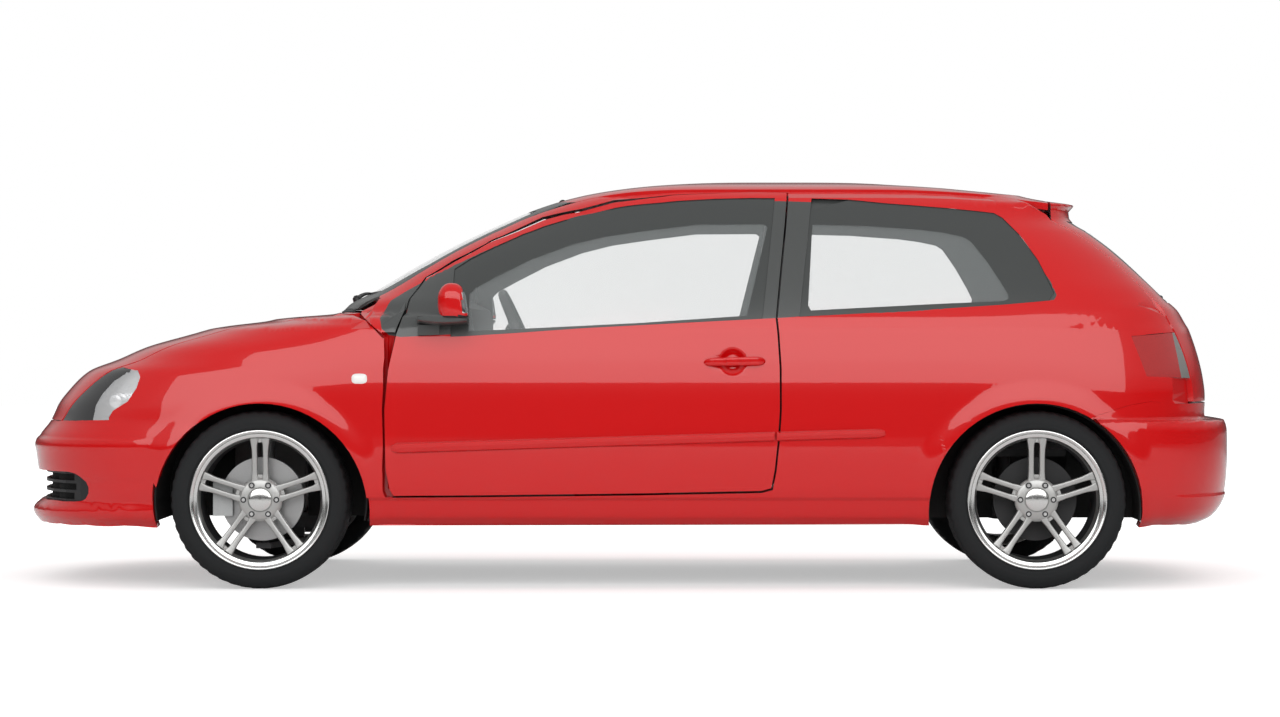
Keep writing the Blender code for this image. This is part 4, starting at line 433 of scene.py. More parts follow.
@dataclass(frozen=True)
class Finish:
    """A surface finish: a Principled BSDF with fine variation of colour, gloss and relief.

    Sizes of the variation are given as cycles per metre in the object's own coordinates.
    """

    name: str
    colour: tuple[float, float, float]
    roughness: float
    metallic: float = 0.0
    coat: float = 0.0
    coat_roughness: float = 0.03
    alpha: float = 1.0
    variation: float = 0.06
    cycles: float = 90.0
    relief: float = 0.05
    relief_depth: float = 0.0004
    transmission: float = 0.0
    ior: float = 1.5
    emission: float = 0.0
    specular: float = 0.5

    def make(self) -> bpy.types.Material:
        """Builds the material, or returns it when it is there already."""
        made = bpy.data.materials.get(self.name)
        if made:
            return made
        made = bpy.data.materials.new(self.name)
        made.use_nodes = True
        tree = made.node_tree
        shader = tree.nodes["Principled BSDF"]
        shader.inputs["Metallic"].default_value = self.metallic
        shader.inputs["Coat Weight"].default_value = self.coat
        shader.inputs["Coat Roughness"].default_value = self.coat_roughness
        shader.inputs["Alpha"].default_value = self.alpha
        shader.inputs["IOR"].default_value = self.ior
        shader.inputs["Specular IOR Level"].default_value = self.specular
        shader.inputs["Transmission Weight"].default_value = self.transmission
        shader.inputs["Emission Strength"].default_value = self.emission
        shader.inputs["Emission Color"].default_value = (*self.colour, 1)
        where = tree.nodes.new("ShaderNodeTexCoord")
        noise = tree.nodes.new("ShaderNodeTexNoise")
        noise.inputs["Scale"].default_value = self.cycles
        noise.inputs["Detail"].default_value = 4
        tree.links.new(where.outputs["Object"], noise.inputs["Vector"])
        shade = tree.nodes.new("ShaderNodeMix")
        shade.data_type = "RGBA"
        dark = [c * (1 - self.variation) for c in self.colour]
        light = [min(1, c * (1 + self.variation)) for c in self.colour]
        shade.inputs["A"].default_value = (*dark, 1)
        shade.inputs["B"].default_value = (*light, 1)
        tree.links.new(noise.outputs["Fac"], shade.inputs["Factor"])
        tree.links.new(shade.outputs["Result"], shader.inputs["Base Color"])
        gloss = tree.nodes.new("ShaderNodeMapRange")
        gloss.inputs["To Min"].default_value = self.roughness * (1 - self.variation)
        gloss.inputs["To Max"].default_value = self.roughness * (1 + self.variation)
        tree.links.new(noise.outputs["Fac"], gloss.inputs["Value"])
        tree.links.new(gloss.outputs["Result"], shader.inputs["Roughness"])
        if self.relief:
            bump = tree.nodes.new("ShaderNodeBump")
            bump.inputs["Strength"].default_value = self.relief
            bump.inputs["Distance"].default_value = self.relief_depth
            tree.links.new(noise.outputs["Fac"], bump.inputs["Height"])
            tree.links.new(bump.outputs["Normal"], shader.inputs["Normal"])
        return made


class Finishes:
    """Every finish of the car."""

    paint = Finish("red_body_paint", (0.60, 0.001, 0.002), 0.30, coat=1.0, variation=0.02,
                   cycles=700, relief=0, specular=0.15)
    pillar = Finish("dark_pillar_trim", (0.062, 0.066, 0.065), 0.32, coat=0.3, variation=0.05,
                    cycles=300)
    trim = Finish("black_moulded_trim", (0.012, 0.012, 0.013), 0.45, variation=0.12, cycles=500)
    # Real black felt on the arch liners; on the intake duct the same near-black is painted shade.
    liner = Finish("arch_liner_felt", (0.006, 0.006, 0.006), 0.8, variation=0.2, cycles=600, relief=0.3)
    cabin = Finish("grained_cabin_plastic", (0.055, 0.058, 0.058), 0.6, variation=0.1, cycles=400,
                   relief=0.25)
    fabric = Finish("seat_fabric", (0.050, 0.052, 0.055), 0.85, variation=0.25, cycles=900, relief=0.4)
    glass = Finish("side_glass", (0.75, 0.80, 0.80), 0.03, alpha=0.12, variation=0.01, cycles=5,
                   relief=0)
    lens = Finish("clear_lens", (0.93, 0.94, 0.95), 0.06, alpha=0.42, variation=0.01, cycles=5, relief=0)
    red_lens = Finish("red_lens", (0.42, 0.012, 0.012), 0.12, coat=0.8, variation=0.10, cycles=160,
                      relief=0.1)
    reflector = Finish("lamp_reflector", (0.86, 0.87, 0.88), 0.22, metallic=0.7, variation=0.03,
                       cycles=60)
    polished = Finish("polished_rim_lip", (0.70, 0.70, 0.69), 0.16, metallic=1.0, variation=0.05,
                      cycles=220)
    alloy = Finish("cast_alloy", (0.46, 0.46, 0.45), 0.38, metallic=0.85, variation=0.08,
                   cycles=350, relief=0.08)
    # Painted shade: a near-black colour for the wheels' deep inner barrel, the bowl behind the hub and the
    # rings round the lugs.
    recess = Finish("dark_recess", (0.03, 0.03, 0.032), 0.5, metallic=0.3, variation=0.1, cycles=200)
    disc = Finish("brake_disc_steel", (0.40, 0.40, 0.40), 0.35, metallic=1.0, variation=0.1,
                  cycles=350, relief=0.1)
    caliper = Finish("caliper_casting", (0.42, 0.43, 0.43), 0.5, metallic=0.6, variation=0.12,
                     cycles=260, relief=0.2)
    steel = Finish("dark_chassis_steel", (0.06, 0.06, 0.062), 0.55, metallic=0.6, variation=0.15,
                   cycles=160)
    engine = Finish("engine_casting", (0.22, 0.22, 0.22), 0.6, metallic=0.5, variation=0.2,
                    cycles=120, relief=0.3)
    rubber = Finish("tyre_rubber_black", (0.012, 0.013, 0.014), 0.70, specular=0.25,
                    variation=0.12, cycles=420, relief=0.12)
    leather = Finish("wheel_leather", (0.030, 0.031, 0.033), 0.5, variation=0.15, cycles=500, relief=0.3)
    ceramic = Finish("printed_glass_band", (0.052, 0.056, 0.055), 0.25, variation=0.04, cycles=200,
                     relief=0)
    trim_gloss = Finish("black_lamp_housing", (0.008, 0.008, 0.009), 0.12, coat=0.8,
                        variation=0.05, cycles=200)
    grey_lens = Finish("smoked_clear_lens", (0.20, 0.19, 0.18), 0.15, coat=0.8, variation=0.25,
                       cycles=300, relief=0.3)
    mirror_glass = Finish("mirror_glass", (0.85, 0.86, 0.87), 0.03, metallic=1.0, variation=0.01,
                          cycles=20, relief=0)
    drum = Finish("blackened_drum", (0.025, 0.025, 0.026), 0.55, metallic=0.4, variation=0.2,
                  cycles=200, relief=0.15)
    white_lens = Finish("side_indicator_lens", (0.88, 0.86, 0.84), 0.25, coat=0.6, variation=0.03,
                        cycles=250)


def dress(node: str, finish: Finish) -> None:
    """Gives a CAD node that stays in view its finish.

    Args:
        node: The CAD node's name.
        finish: Its finish.
    """
    data = frame["nodes"][node].data
    data.materials.clear()
    data.materials.append(finish.make())


def body_name(node: str) -> str:
    """The body a CAD node belongs to."""
    return body_of(frame["nodes"][node])[0]


def new_piece(name: str, bm: bmesh.types.BMesh, finishes: list[Finish], body: str, smooth: float = 35.0,
              slot: str = "") -> bpy.types.Object:
    """Makes a piece of the scene from a mesh and lets it ride on a body.

    Args:
        name: The piece's name.
        bm: Its mesh, which is used up.
        finishes: Its materials, in the order of the faces' indices.
        body: The body it moves with.
        smooth: Edges sharper than this many degrees stay sharp.
        slot: The record's material slot, when it is a new piece; not used.

    Returns:
        The piece.
    """
    mesh = bpy.data.meshes.new(name)
    for face in bm.faces:
        face.smooth = True
    for edge in bm.edges:
        if len(edge.link_faces) == 2:
            edge.smooth = edge.calc_face_angle(0) < math.radians(smooth)
    bm.to_mesh(mesh)
    bm.free()
    for finish in finishes:
        mesh.materials.append(finish.make())
    piece = bpy.data.objects.new(name, mesh)
    bpy.context.scene.collection.objects.link(piece)
    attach(piece, body)
    return piece


def closed_piece(name: str, bm: bmesh.types.BMesh, *rest: object, **named: object) -> bpy.types.Object:
    """Turns a closed mesh's faces outwards and makes a piece of it, with new_piece's other arguments."""
    bmesh.ops.recalc_face_normals(bm, faces=bm.faces[:])
    return new_piece(name, bm, *rest, **named)


def loft(bm: bmesh.types.BMesh, rings: list[list[Vector]], look: int = 0) -> list[bmesh.types.BMFace]:
    """Adds a closed body that runs through rings of equally many points.

    Args:
        bm: The mesh that takes it.
        rings: The sections, in order.
        look: The finish's place in the piece's list.

    Returns:
        The new faces.
    """
    rows = [[bm.verts.new(point) for point in ring] for ring in rings]
    faces = []
    for low, high in zip(rows, rows[1:]):
        for a in range(len(low)):
            b = (a + 1) % len(low)
            faces.append(bm.faces.new((low[a], low[b], high[b], high[a])))
    faces.append(bm.faces.new(list(reversed(rows[0]))))
    faces.append(bm.faces.new(rows[-1]))
    for face in faces:
        face.material_index = look
    return faces


def rounded_section(wide: float, tall: float, radius: float, steps: int = 4) -> list[tuple[float, float]]:
    """The points of a rectangle with round corners, about its middle.

    Args:
        wide: Its first size.
        tall: Its second size.
        radius: The corners' radius.
        steps: Steps in each corner.

    Returns:
        The points in order.
    """
    points = []
    for corner, (sx, sy) in enumerate(((1, 1), (-1, 1), (-1, -1), (1, -1))):
        for step in range(steps + 1):
            angle = math.pi / 2 * (corner + step / steps)
            points.append((sx * (wide / 2 - radius) + radius * math.cos(angle),
                           sy * (tall / 2 - radius) + radius * math.sin(angle)))
    return points


@dataclass
class SkinRefiner:
    """Copies CAD panels and lays their outer skins on the body's form, with the form's own normals."""

    form: BodyForm
    near: float = 0.009
    facing: float = 0.75
    inner_facing: float = -0.5
    passes: int = 7

    def outer_faces(self, bm: bmesh.types.BMesh, inset: float) -> list[bmesh.types.BMFace]:
        """The faces that lie on the skin and look outwards.

        Args:
            bm: The panel's mesh.
            inset: How far the panel lies inside the skin.

        Returns:
            The faces.
        """
        bm.verts.ensure_lookup_table()
        points = np.array([v.co[:] for v in bm.verts])
        depth = self.form.fullness(points)
        slope = self.form.slope(self.form.fullness, points)
        size = np.linalg.norm(slope, axis=1)
        depth = depth / np.maximum(size, 1e-6) + inset
        normal = slope / np.maximum(size, 1e-6)[:, None]
        found = []
        for face in bm.faces:
            ids = [v.index for v in face.verts]
            middle = Vector(normal[ids].mean(axis=0))
            if max(abs(depth[i]) for i in ids) < self.near and face.normal.dot(middle) > self.facing:
                found.append(face)
        return found

    def refined(self, node: str, finishes: list[Finish], inset: float = 0.0, zones: tuple["Zone", ...] = (),
                lining: int = 0, detailed: bool = True, longest: float = 1.0) -> bpy.types.Object:
        """A fine copy of a CAD node that stands for it.

        Args:
            node: The CAD node.
            finishes: What the zones and the lining choose from; the first is the panel's own.
            inset: How far inside the form its outer face lies.
            zones: Outlines whose faces take another finish.
            lining: The finish of the faces that look into the car.
            detailed: Whether its skin follows the flares and creases.
            longest: The longest edge of its skin.

        Returns:
            The piece.
        """
        bm = bmesh.new()
        bm.from_mesh(frame["nodes"][node].data)
        bmesh.ops.remove_doubles(bm, verts=bm.verts[:], dist=1e-6)
        outer_layer = bm.faces.layers.int.new("outer")
        for face in self.outer_faces(bm, inset):
            face[outer_layer] = 1
        for zone in zones:
            zone.score(bm)
        for _ in range(self.passes):
            edges = [e for e in bm.edges if any(f[outer_layer] for f in e.link_faces)]
            middles = np.array([(e.verts[0].co + e.verts[1].co)[:] for e in edges]) / 2
            limits = np.minimum(self.form.fine(middles), longest)
            long_edges = [e for e, limit in zip(edges, limits) if e.calc_length() > limit]
            if not long_edges:
                break
            bmesh.ops.subdivide_edges(bm, edges=long_edges, cuts=1)
            bmesh.ops.triangulate(bm, faces=[f for f in bm.faces if len(f.verts) > 3])
        verts = list({v for f in bm.faces if f[outer_layer] for v in f.verts})
        points = self.form.snapped(np.array([v.co[:] for v in verts]), inset, detailed)
        for vert, point in zip(verts, points):
            vert.co = point
        bm.normal_update()
        bm.verts.index_update()
        normals = dict(zip((v.index for v in verts), self.form.normals(points)))
        middles = np.array([f.calc_center_median()[:] for f in bm.faces])
        outward = self.form.normals(middles)
        for face, out in zip(bm.faces, outward):
            if not face[outer_layer] and face.normal.dot(Vector(out)) < self.inner_facing:
                face.material_index = lining
        for zone in zones:
            zone.paint(bm, outer_layer)
        loops = []
        for face in bm.faces:
            for loop in face.loops:
                outer = face[outer_layer]
                loops.append(tuple(normals[loop.vert.index]) if outer else tuple(face.normal))
        bm.faces.layers.int.remove(outer_layer)
        piece = new_piece(f"{node}_panel", bm, finishes, body_name(node), 180)
        piece.data.normals_split_custom_set(loops)
        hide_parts(node)
        return piece


@dataclass(frozen=True)
class Zone:
    """A part of a panel with a finish of its own, inside an outline."""

    outline: tuple[tuple[float, float], ...]
    finish: int
    view: View = View.SIDE
    outer_only: bool = True
    outside: bool = False

    def score(self, bm: bmesh.types.BMesh, reach: float = 0.002) -> None:
        """Cuts the faces along the outline, so that the zone ends on its line.

        Args:
            bm: The panel's mesh.
            reach: How far past the outline faces are cut.
        """
        a, b = self.view.value
        for start, end in zip(self.outline, self.outline[1:] + self.outline[:1]):
            normal, base = Vector((0, 0, 0)), Vector((0, 0, 0))
            normal[a], normal[b] = end[1] - start[1], start[0] - end[0]
            base[a], base[b] = start
            if normal.length < 1e-6:
                continue
            low = [min(start[i], end[i]) - reach for i in (0, 1)]
            high = [max(start[i], end[i]) + reach for i in (0, 1)]
            geom = set()
            for face in bm.faces:
                spans = [[v.co[k] for v in face.verts] for k in (a, b)]
                if all(min(span) < high[i] and max(span) > low[i] for i, span in enumerate(spans)):
                    geom.add(face)
                    geom.update(face.edges)
                    geom.update(face.verts)
            bmesh.ops.bisect_plane(
                bm, geom=list(geom), dist=1e-5, plane_co=base, plane_no=normal.normalized(),
            )
        bmesh.ops.triangulate(bm, faces=[f for f in bm.faces if len(f.verts) > 3])

    def paint(self, bm: bmesh.types.BMesh, outer_layer: bmesh.types.BMLayerItem) -> None:
        """Gives the zone's faces its finish.

        Args:
            bm: The panel's mesh.
            outer_layer: The layer that marks the outer faces.
        """
        a, b = self.view.value
        for face in bm.faces:
            if self.outer_only and not face[outer_layer]:
                continue
            middle = face.calc_center_median()
            if inside(self.outline, middle[a], middle[b]) != self.outside:
                face.material_index = self.finish


def inside(outline: tuple[tuple[float, float], ...], x: float, z: float) -> bool:
    """Whether a place lies inside an outline.

    Args:
        outline: The outline's points in order.
        x: The place's first measure.
        z: The place's second measure.

    Returns:
        True when it does.
    """
    odd = False
    for (x0, z0), (x1, z1) in zip(outline, outline[1:] + outline[:1]):
        if (z0 > z) != (z1 > z) and x < x0 + (x1 - x0) * (z - z0) / (z1 - z0):
            odd = not odd
    return odd


@dataclass
class Studio:
    """Floor, lamps, world and the camera at the photograph's angle."""

    camera_place: tuple[float, float, float] = (0.183, -13.40, 0.888)
    lens: float = 102.375
    sensor: float = 36.0
    shift: tuple[float, float] = (-0.0305, -0.0207)
    floor_size: float = 60.0
    floor_colour: float = 0.80
    floor_fade: tuple[float, float, float, float] = (3.0, 7.0, 0.45, 1.0)
    fill: float = 0.30
    horizon: float = 0.07
    ceiling: float = 0.50
    horizon_span: tuple[float, float] = (0.10, 0.26)
    softboxes: tuple[tuple[str, tuple[float, float, float], tuple[float, float], float, bool], ...] = (
        ("camera_side_softbox", (0.0, -9.5, 5.1), (20.0, 6.4), 2.2, True),
        ("overhead_softbox", (0.0, 0.0, 7.5), (14.0, 6.0), 1.1, False),
        ("far_side_softbox", (0.0, 9.5, 5.1), (18.0, 5.4), 1.5, False),
    )

    def build(self) -> None:
        """Builds the whole studio."""
        self.camera()
        self.floor()
        self.world()
        for name, place, size, radiance, mirrored in self.softboxes:
            self.lamp(name, place, (0, 0, 0.7), size, radiance * math.pi * size[0] * size[1], mirrored)

    def camera(self) -> None:
        """Places the camera where the photograph was taken from."""
        data = bpy.data.cameras.new("photo_camera")
        data.sensor_width = self.sensor
        data.lens = self.lens
        data.shift_x, data.shift_y = self.shift
        data.clip_end = 200
        made = bpy.data.objects.new("photo_camera", data)
        made.location = self.camera_place
        made.rotation_euler = (math.radians(90), 0, 0)
        bpy.context.scene.collection.objects.link(made)
        bpy.context.scene.camera = made

    def floor(self) -> None:
        """A pale floor that shows white to the camera but keeps the car's shadow."""
        bm = bmesh.new()
        bmesh.ops.create_grid(bm, x_segments=1, y_segments=1, size=self.floor_size / 2)
        mesh = bpy.data.meshes.new("studio_floor")
        bm.to_mesh(mesh)
        bm.free()
        made = bpy.data.objects.new("studio_floor", mesh)
        bpy.context.scene.collection.objects.link(made)
        pale = bpy.data.materials.new("studio_floor")
        pale.use_nodes = True
        tree = pale.node_tree
        shader = tree.nodes["Principled BSDF"]
        shader.inputs["Base Color"].default_value = (self.floor_colour,) * 3 + (1,)
        shader.inputs["Roughness"].default_value = 0.9
        shader.inputs["Specular IOR Level"].default_value = 0.0
        path = tree.nodes.new("ShaderNodeLightPath")
        shader.inputs["Emission Color"].default_value = (1, 1, 1, 1)
        where = tree.nodes.new("ShaderNodeTexCoord")
        away = tree.nodes.new("ShaderNodeVectorMath")
        away.operation = "LENGTH"
        tree.links.new(where.outputs["Object"], away.inputs[0])
        fade = tree.nodes.new("ShaderNodeMapRange")
        for key, value in zip(("From Min", "From Max", "To Min", "To Max"), self.floor_fade):
            fade.inputs[key].default_value = value
        tree.links.new(away.outputs["Value"], fade.inputs["Value"])
        lift = tree.nodes.new("ShaderNodeMath")
        lift.operation = "MULTIPLY"
        tree.links.new(fade.outputs["Result"], lift.inputs[1])
        tree.links.new(path.outputs["Is Camera Ray"], lift.inputs[0])
        tree.links.new(lift.outputs["Value"], shader.inputs["Emission Strength"])
        mesh.materials.append(pale)

    def world(self) -> None:
        """A studio room: white to the camera and through glass, dim near the horizon in reflections."""
        world = bpy.data.worlds.new("studio_world")
        bpy.context.scene.world = world
        world.use_nodes = True
        tree = world.node_tree
        ground = tree.nodes["Background"]
        path = tree.nodes.new("ShaderNodeLightPath")
        seen = tree.nodes.new("ShaderNodeMath")
        seen.operation = "MAXIMUM"
        tree.links.new(path.outputs["Is Camera Ray"], seen.inputs[0])
        tree.links.new(path.outputs["Is Transmission Ray"], seen.inputs[1])
        where = tree.nodes.new("ShaderNodeTexCoord")
        split = tree.nodes.new("ShaderNodeSeparateXYZ")
        tree.links.new(where.outputs["Generated"], split.inputs["Vector"])
        rise = tree.nodes.new("ShaderNodeMapRange")
        rise.inputs["From Min"].default_value, rise.inputs["From Max"].default_value = self.horizon_span
        rise.inputs["To Min"].default_value, rise.inputs["To Max"].default_value = self.horizon, self.ceiling
        tree.links.new(split.outputs["Z"], rise.inputs["Value"])
        glossy = tree.nodes.new("ShaderNodeMix")
        glossy.inputs[2].default_value = self.fill
        tree.links.new(path.outputs["Is Glossy Ray"], glossy.inputs[0])
        tree.links.new(rise.outputs["Result"], glossy.inputs[3])
        power = tree.nodes.new("ShaderNodeMix")
        power.inputs[3].default_value = 1.0
        tree.links.new(seen.outputs["Value"], power.inputs[0])
        tree.links.new(glossy.outputs[0], power.inputs[2])
        tree.links.new(power.outputs[0], ground.inputs["Strength"])
        ground.inputs["Color"].default_value = (1, 1, 1, 1)

    def lamp(self, name: str, place: tuple[float, float, float], target: tuple[float, float, float],
             size: tuple[float, float], watts: float, mirrored: bool) -> None:
        """A soft rectangular lamp that looks at a target, and shows in reflections or not.

        Args:
            name: Its name.
            place: Where it stands.
            target: What it looks at.
            size: Its width and height.
            watts: Its power.
            mirrored: Whether reflections show it.
        """
        data = bpy.data.lights.new(name, "AREA")
        data.shape = "RECTANGLE"
        data.size, data.size_y = size
        data.energy = watts
        made = bpy.data.objects.new(name, data)
        made.location = place
        made.rotation_euler = (Vector(target) - Vector(place)).to_track_quat("-Z", "Y").to_euler()
        made.visible_camera = False
        made.visible_glossy = mirrored
        bpy.context.scene.collection.objects.link(made)


WINDOW_BAND = (
    (-0.8509, 0.9310), (-0.8436, 0.9664), (-0.8197, 0.9948), (-0.7774, 1.0229), (-0.6851, 1.0797),
    (-0.6002, 1.1220), (-0.4730, 1.1830), (-0.3315, 1.2396), (-0.1901, 1.2819), (-0.0486, 1.3103),
    (0.0478, 1.3273), (0.2471, 1.3450), (0.5353, 1.3477), (0.8449, 1.3346), (1.1104, 1.3144),
    (1.2765, 1.2985), (1.3029, 1.2881), (1.3760, 1.2084), (1.4294, 1.1418), (1.4759, 1.0555),
    (1.4918, 1.0156), (1.4824, 0.9983), (0.9776, 0.9587), (0.6497, 0.9452), (0.5193, 0.9358),
    (0.0478, 0.9119), (-0.7774, 0.8703), (-0.8197, 0.8773), (-0.8436, 0.8998),
)


@dataclass
class BodyPanels:
    """The painted panels, with the dark band round the side windows."""

    form: BodyForm
    refiner: SkinRefiner
    band: tuple[tuple[float, float], ...] = WINDOW_BAND

    def build(self) -> None:
        """Refines every painted panel."""
        looks = [Finishes.paint, Finishes.pillar, Finishes.cabin]
        band = Zone(self.band, 1, outer_only=False)
        for side in Side:
            self.refiner.refined(f"side_frame_{side.word}", looks, zones=(band,), lining=2)
            self.refiner.refined(f"door_{side.word}", looks, zones=(band,), lining=2)
            self.refiner.refined(f"fender_{side.word}", looks, zones=(band,), lining=0)
        for node in ("roof", "tailgate"):
            self.refiner.refined(node, looks, lining=2)
        for node in ("hood", "front_bumper", "rear_bumper"):
            self.refiner.refined(node, looks, lining=0)
        LOG.info("painted panels")


@dataclass
class Glazing:
    """The windows, each with the dark printed band round its clear part."""

    form: BodyForm
    refiner: SkinRefiner
    glass_inset: float = 0.003
    door_clear: tuple[tuple[float, float], ...] = (
        (-0.5437, 1.0188), (-0.5225, 1.0414), (-0.4518, 1.0796), (-0.3315, 1.1405), (-0.1900, 1.1928),
        (-0.0767, 1.2211), (0.0478, 1.2395), (0.2470, 1.2641), (0.4800, 1.2654), (0.4928, 1.2560),
        (0.4171, 0.9440), (0.0478, 0.9192), (-0.5437, 0.8900),
    )
    quarter_clear: tuple[tuple[float, float], ...] = (
        (0.6495, 1.2641), (0.8448, 1.2588), (1.0308, 1.2455), (1.1105, 1.2349), (1.1742, 1.2216),
        (1.2008, 1.2056), (1.2566, 1.1313), (1.3031, 1.0555), (1.3243, 1.0157), (1.3230, 1.0011),
        (1.3031, 0.9944), (1.1105, 0.9865), (0.8448, 0.9732), (0.6389, 0.9625), (0.6296, 0.9798),
    )
    screen_clear: tuple[tuple[float, float], ...] = (
        (-0.560, 1.020), (-0.555, 1.130), (-0.470, 1.318), (0.470, 1.318), (0.555, 1.130), (0.560, 1.020),
    )
    rear_clear: tuple[tuple[float, float], ...] = (
        (-0.475, 1.030), (-0.430, 1.250), (0.430, 1.250), (0.475, 1.030),
    )

    def build(self) -> None:
        """Refines every pane."""
        looks = [Finishes.glass, Finishes.ceramic]
        for side in Side:
            for kind, clear in (("door_glass", self.door_clear), ("quarter_glass", self.quarter_clear)):
                band = Zone(clear, 1, outer_only=False, outside=True)
                self.refiner.refined(f"{kind}_{side.word}", looks, self.glass_inset, (band,), detailed=False)
        for node, clear in (("windscreen", self.screen_clear), ("rear_glass", self.rear_clear)):
            self.refiner.refined(
                node, looks, 0 if node == "windscreen" else self.glass_inset,
                (Zone(clear, 1, View.FRONT, outer_only=False, outside=True),), detailed=False, longest=0.06,
            )
        LOG.info("glass")


@dataclass
class Lamps:
    """Headlamps and tail lamps."""

    form: BodyForm
    refiner: SkinRefiner
    dark_part: tuple[tuple[float, float], ...] = (
        (-1.731, 0.790), (-1.731, 0.7522), (-1.7885, 0.7163), (-1.8286, 0.6733), (-1.8530, 0.6302),
        (-1.8674, 0.5400), (-2.1400, 0.5400), (-2.1400, 0.7900),
    )
    clear_strip: tuple[tuple[float, float], ...] = (
        (1.9051, 0.9000), (1.9340, 0.9000), (1.9860, 0.7100), (1.9388, 0.7100),
    )

    def build(self) -> None:
        """Refines the lamps and fits the headlamps' insides."""
        for side in Side:
            self.refiner.refined(
                f"headlamp_{side.word}", [Finishes.lens, Finishes.trim_gloss, Finishes.reflector],
                zones=(Zone(self.dark_part, 1, outer_only=False),), lining=2, longest=0.02,
            )
            self.refiner.refined(
                f"tail_lamp_{side.word}", [Finishes.red_lens, Finishes.grey_lens],
                zones=(Zone(self.clear_strip, 1),), longest=0.02,
            )
            self.projector(side)
        LOG.info("lamps")

    def projector(self, side: Side) -> None:
        """A headlamp's round projector with its ring, behind the clear part of the lens.

        Args:
            side: The side of the car.
        """
        bm = bmesh.new()
        place = self.form.side_point(-1.795, 0.664, side, -0.045)
        facing = Vector((-0.35, side.value, 0)).to_track_quat("Z", "Y")
        turn = Matrix.Translation(place) @ facing.to_matrix().to_4x4()
        for radius, depth, low, index in ((0.030, 0.050, -0.025, 0), (0.024, 0.006, 0.027, 1)):
            made = bmesh.ops.create_cone(
                bm, cap_ends=True, segments=40, radius1=radius * 0.8, radius2=radius, depth=depth,
                matrix=turn @ Matrix.Translation((0, 0, low)),
            )
            edges = list({e for v in made["verts"] for e in v.link_edges})
            bmesh.ops.bevel(
                bm, geom=edges, offset=0.002, segments=2, profile=0.5, affect="EDGES", material=-1,
            )
        new_piece(f"headlamp_projector_{side.word}", bm, [Finishes.reflector], "body", slot="clear_lamp")


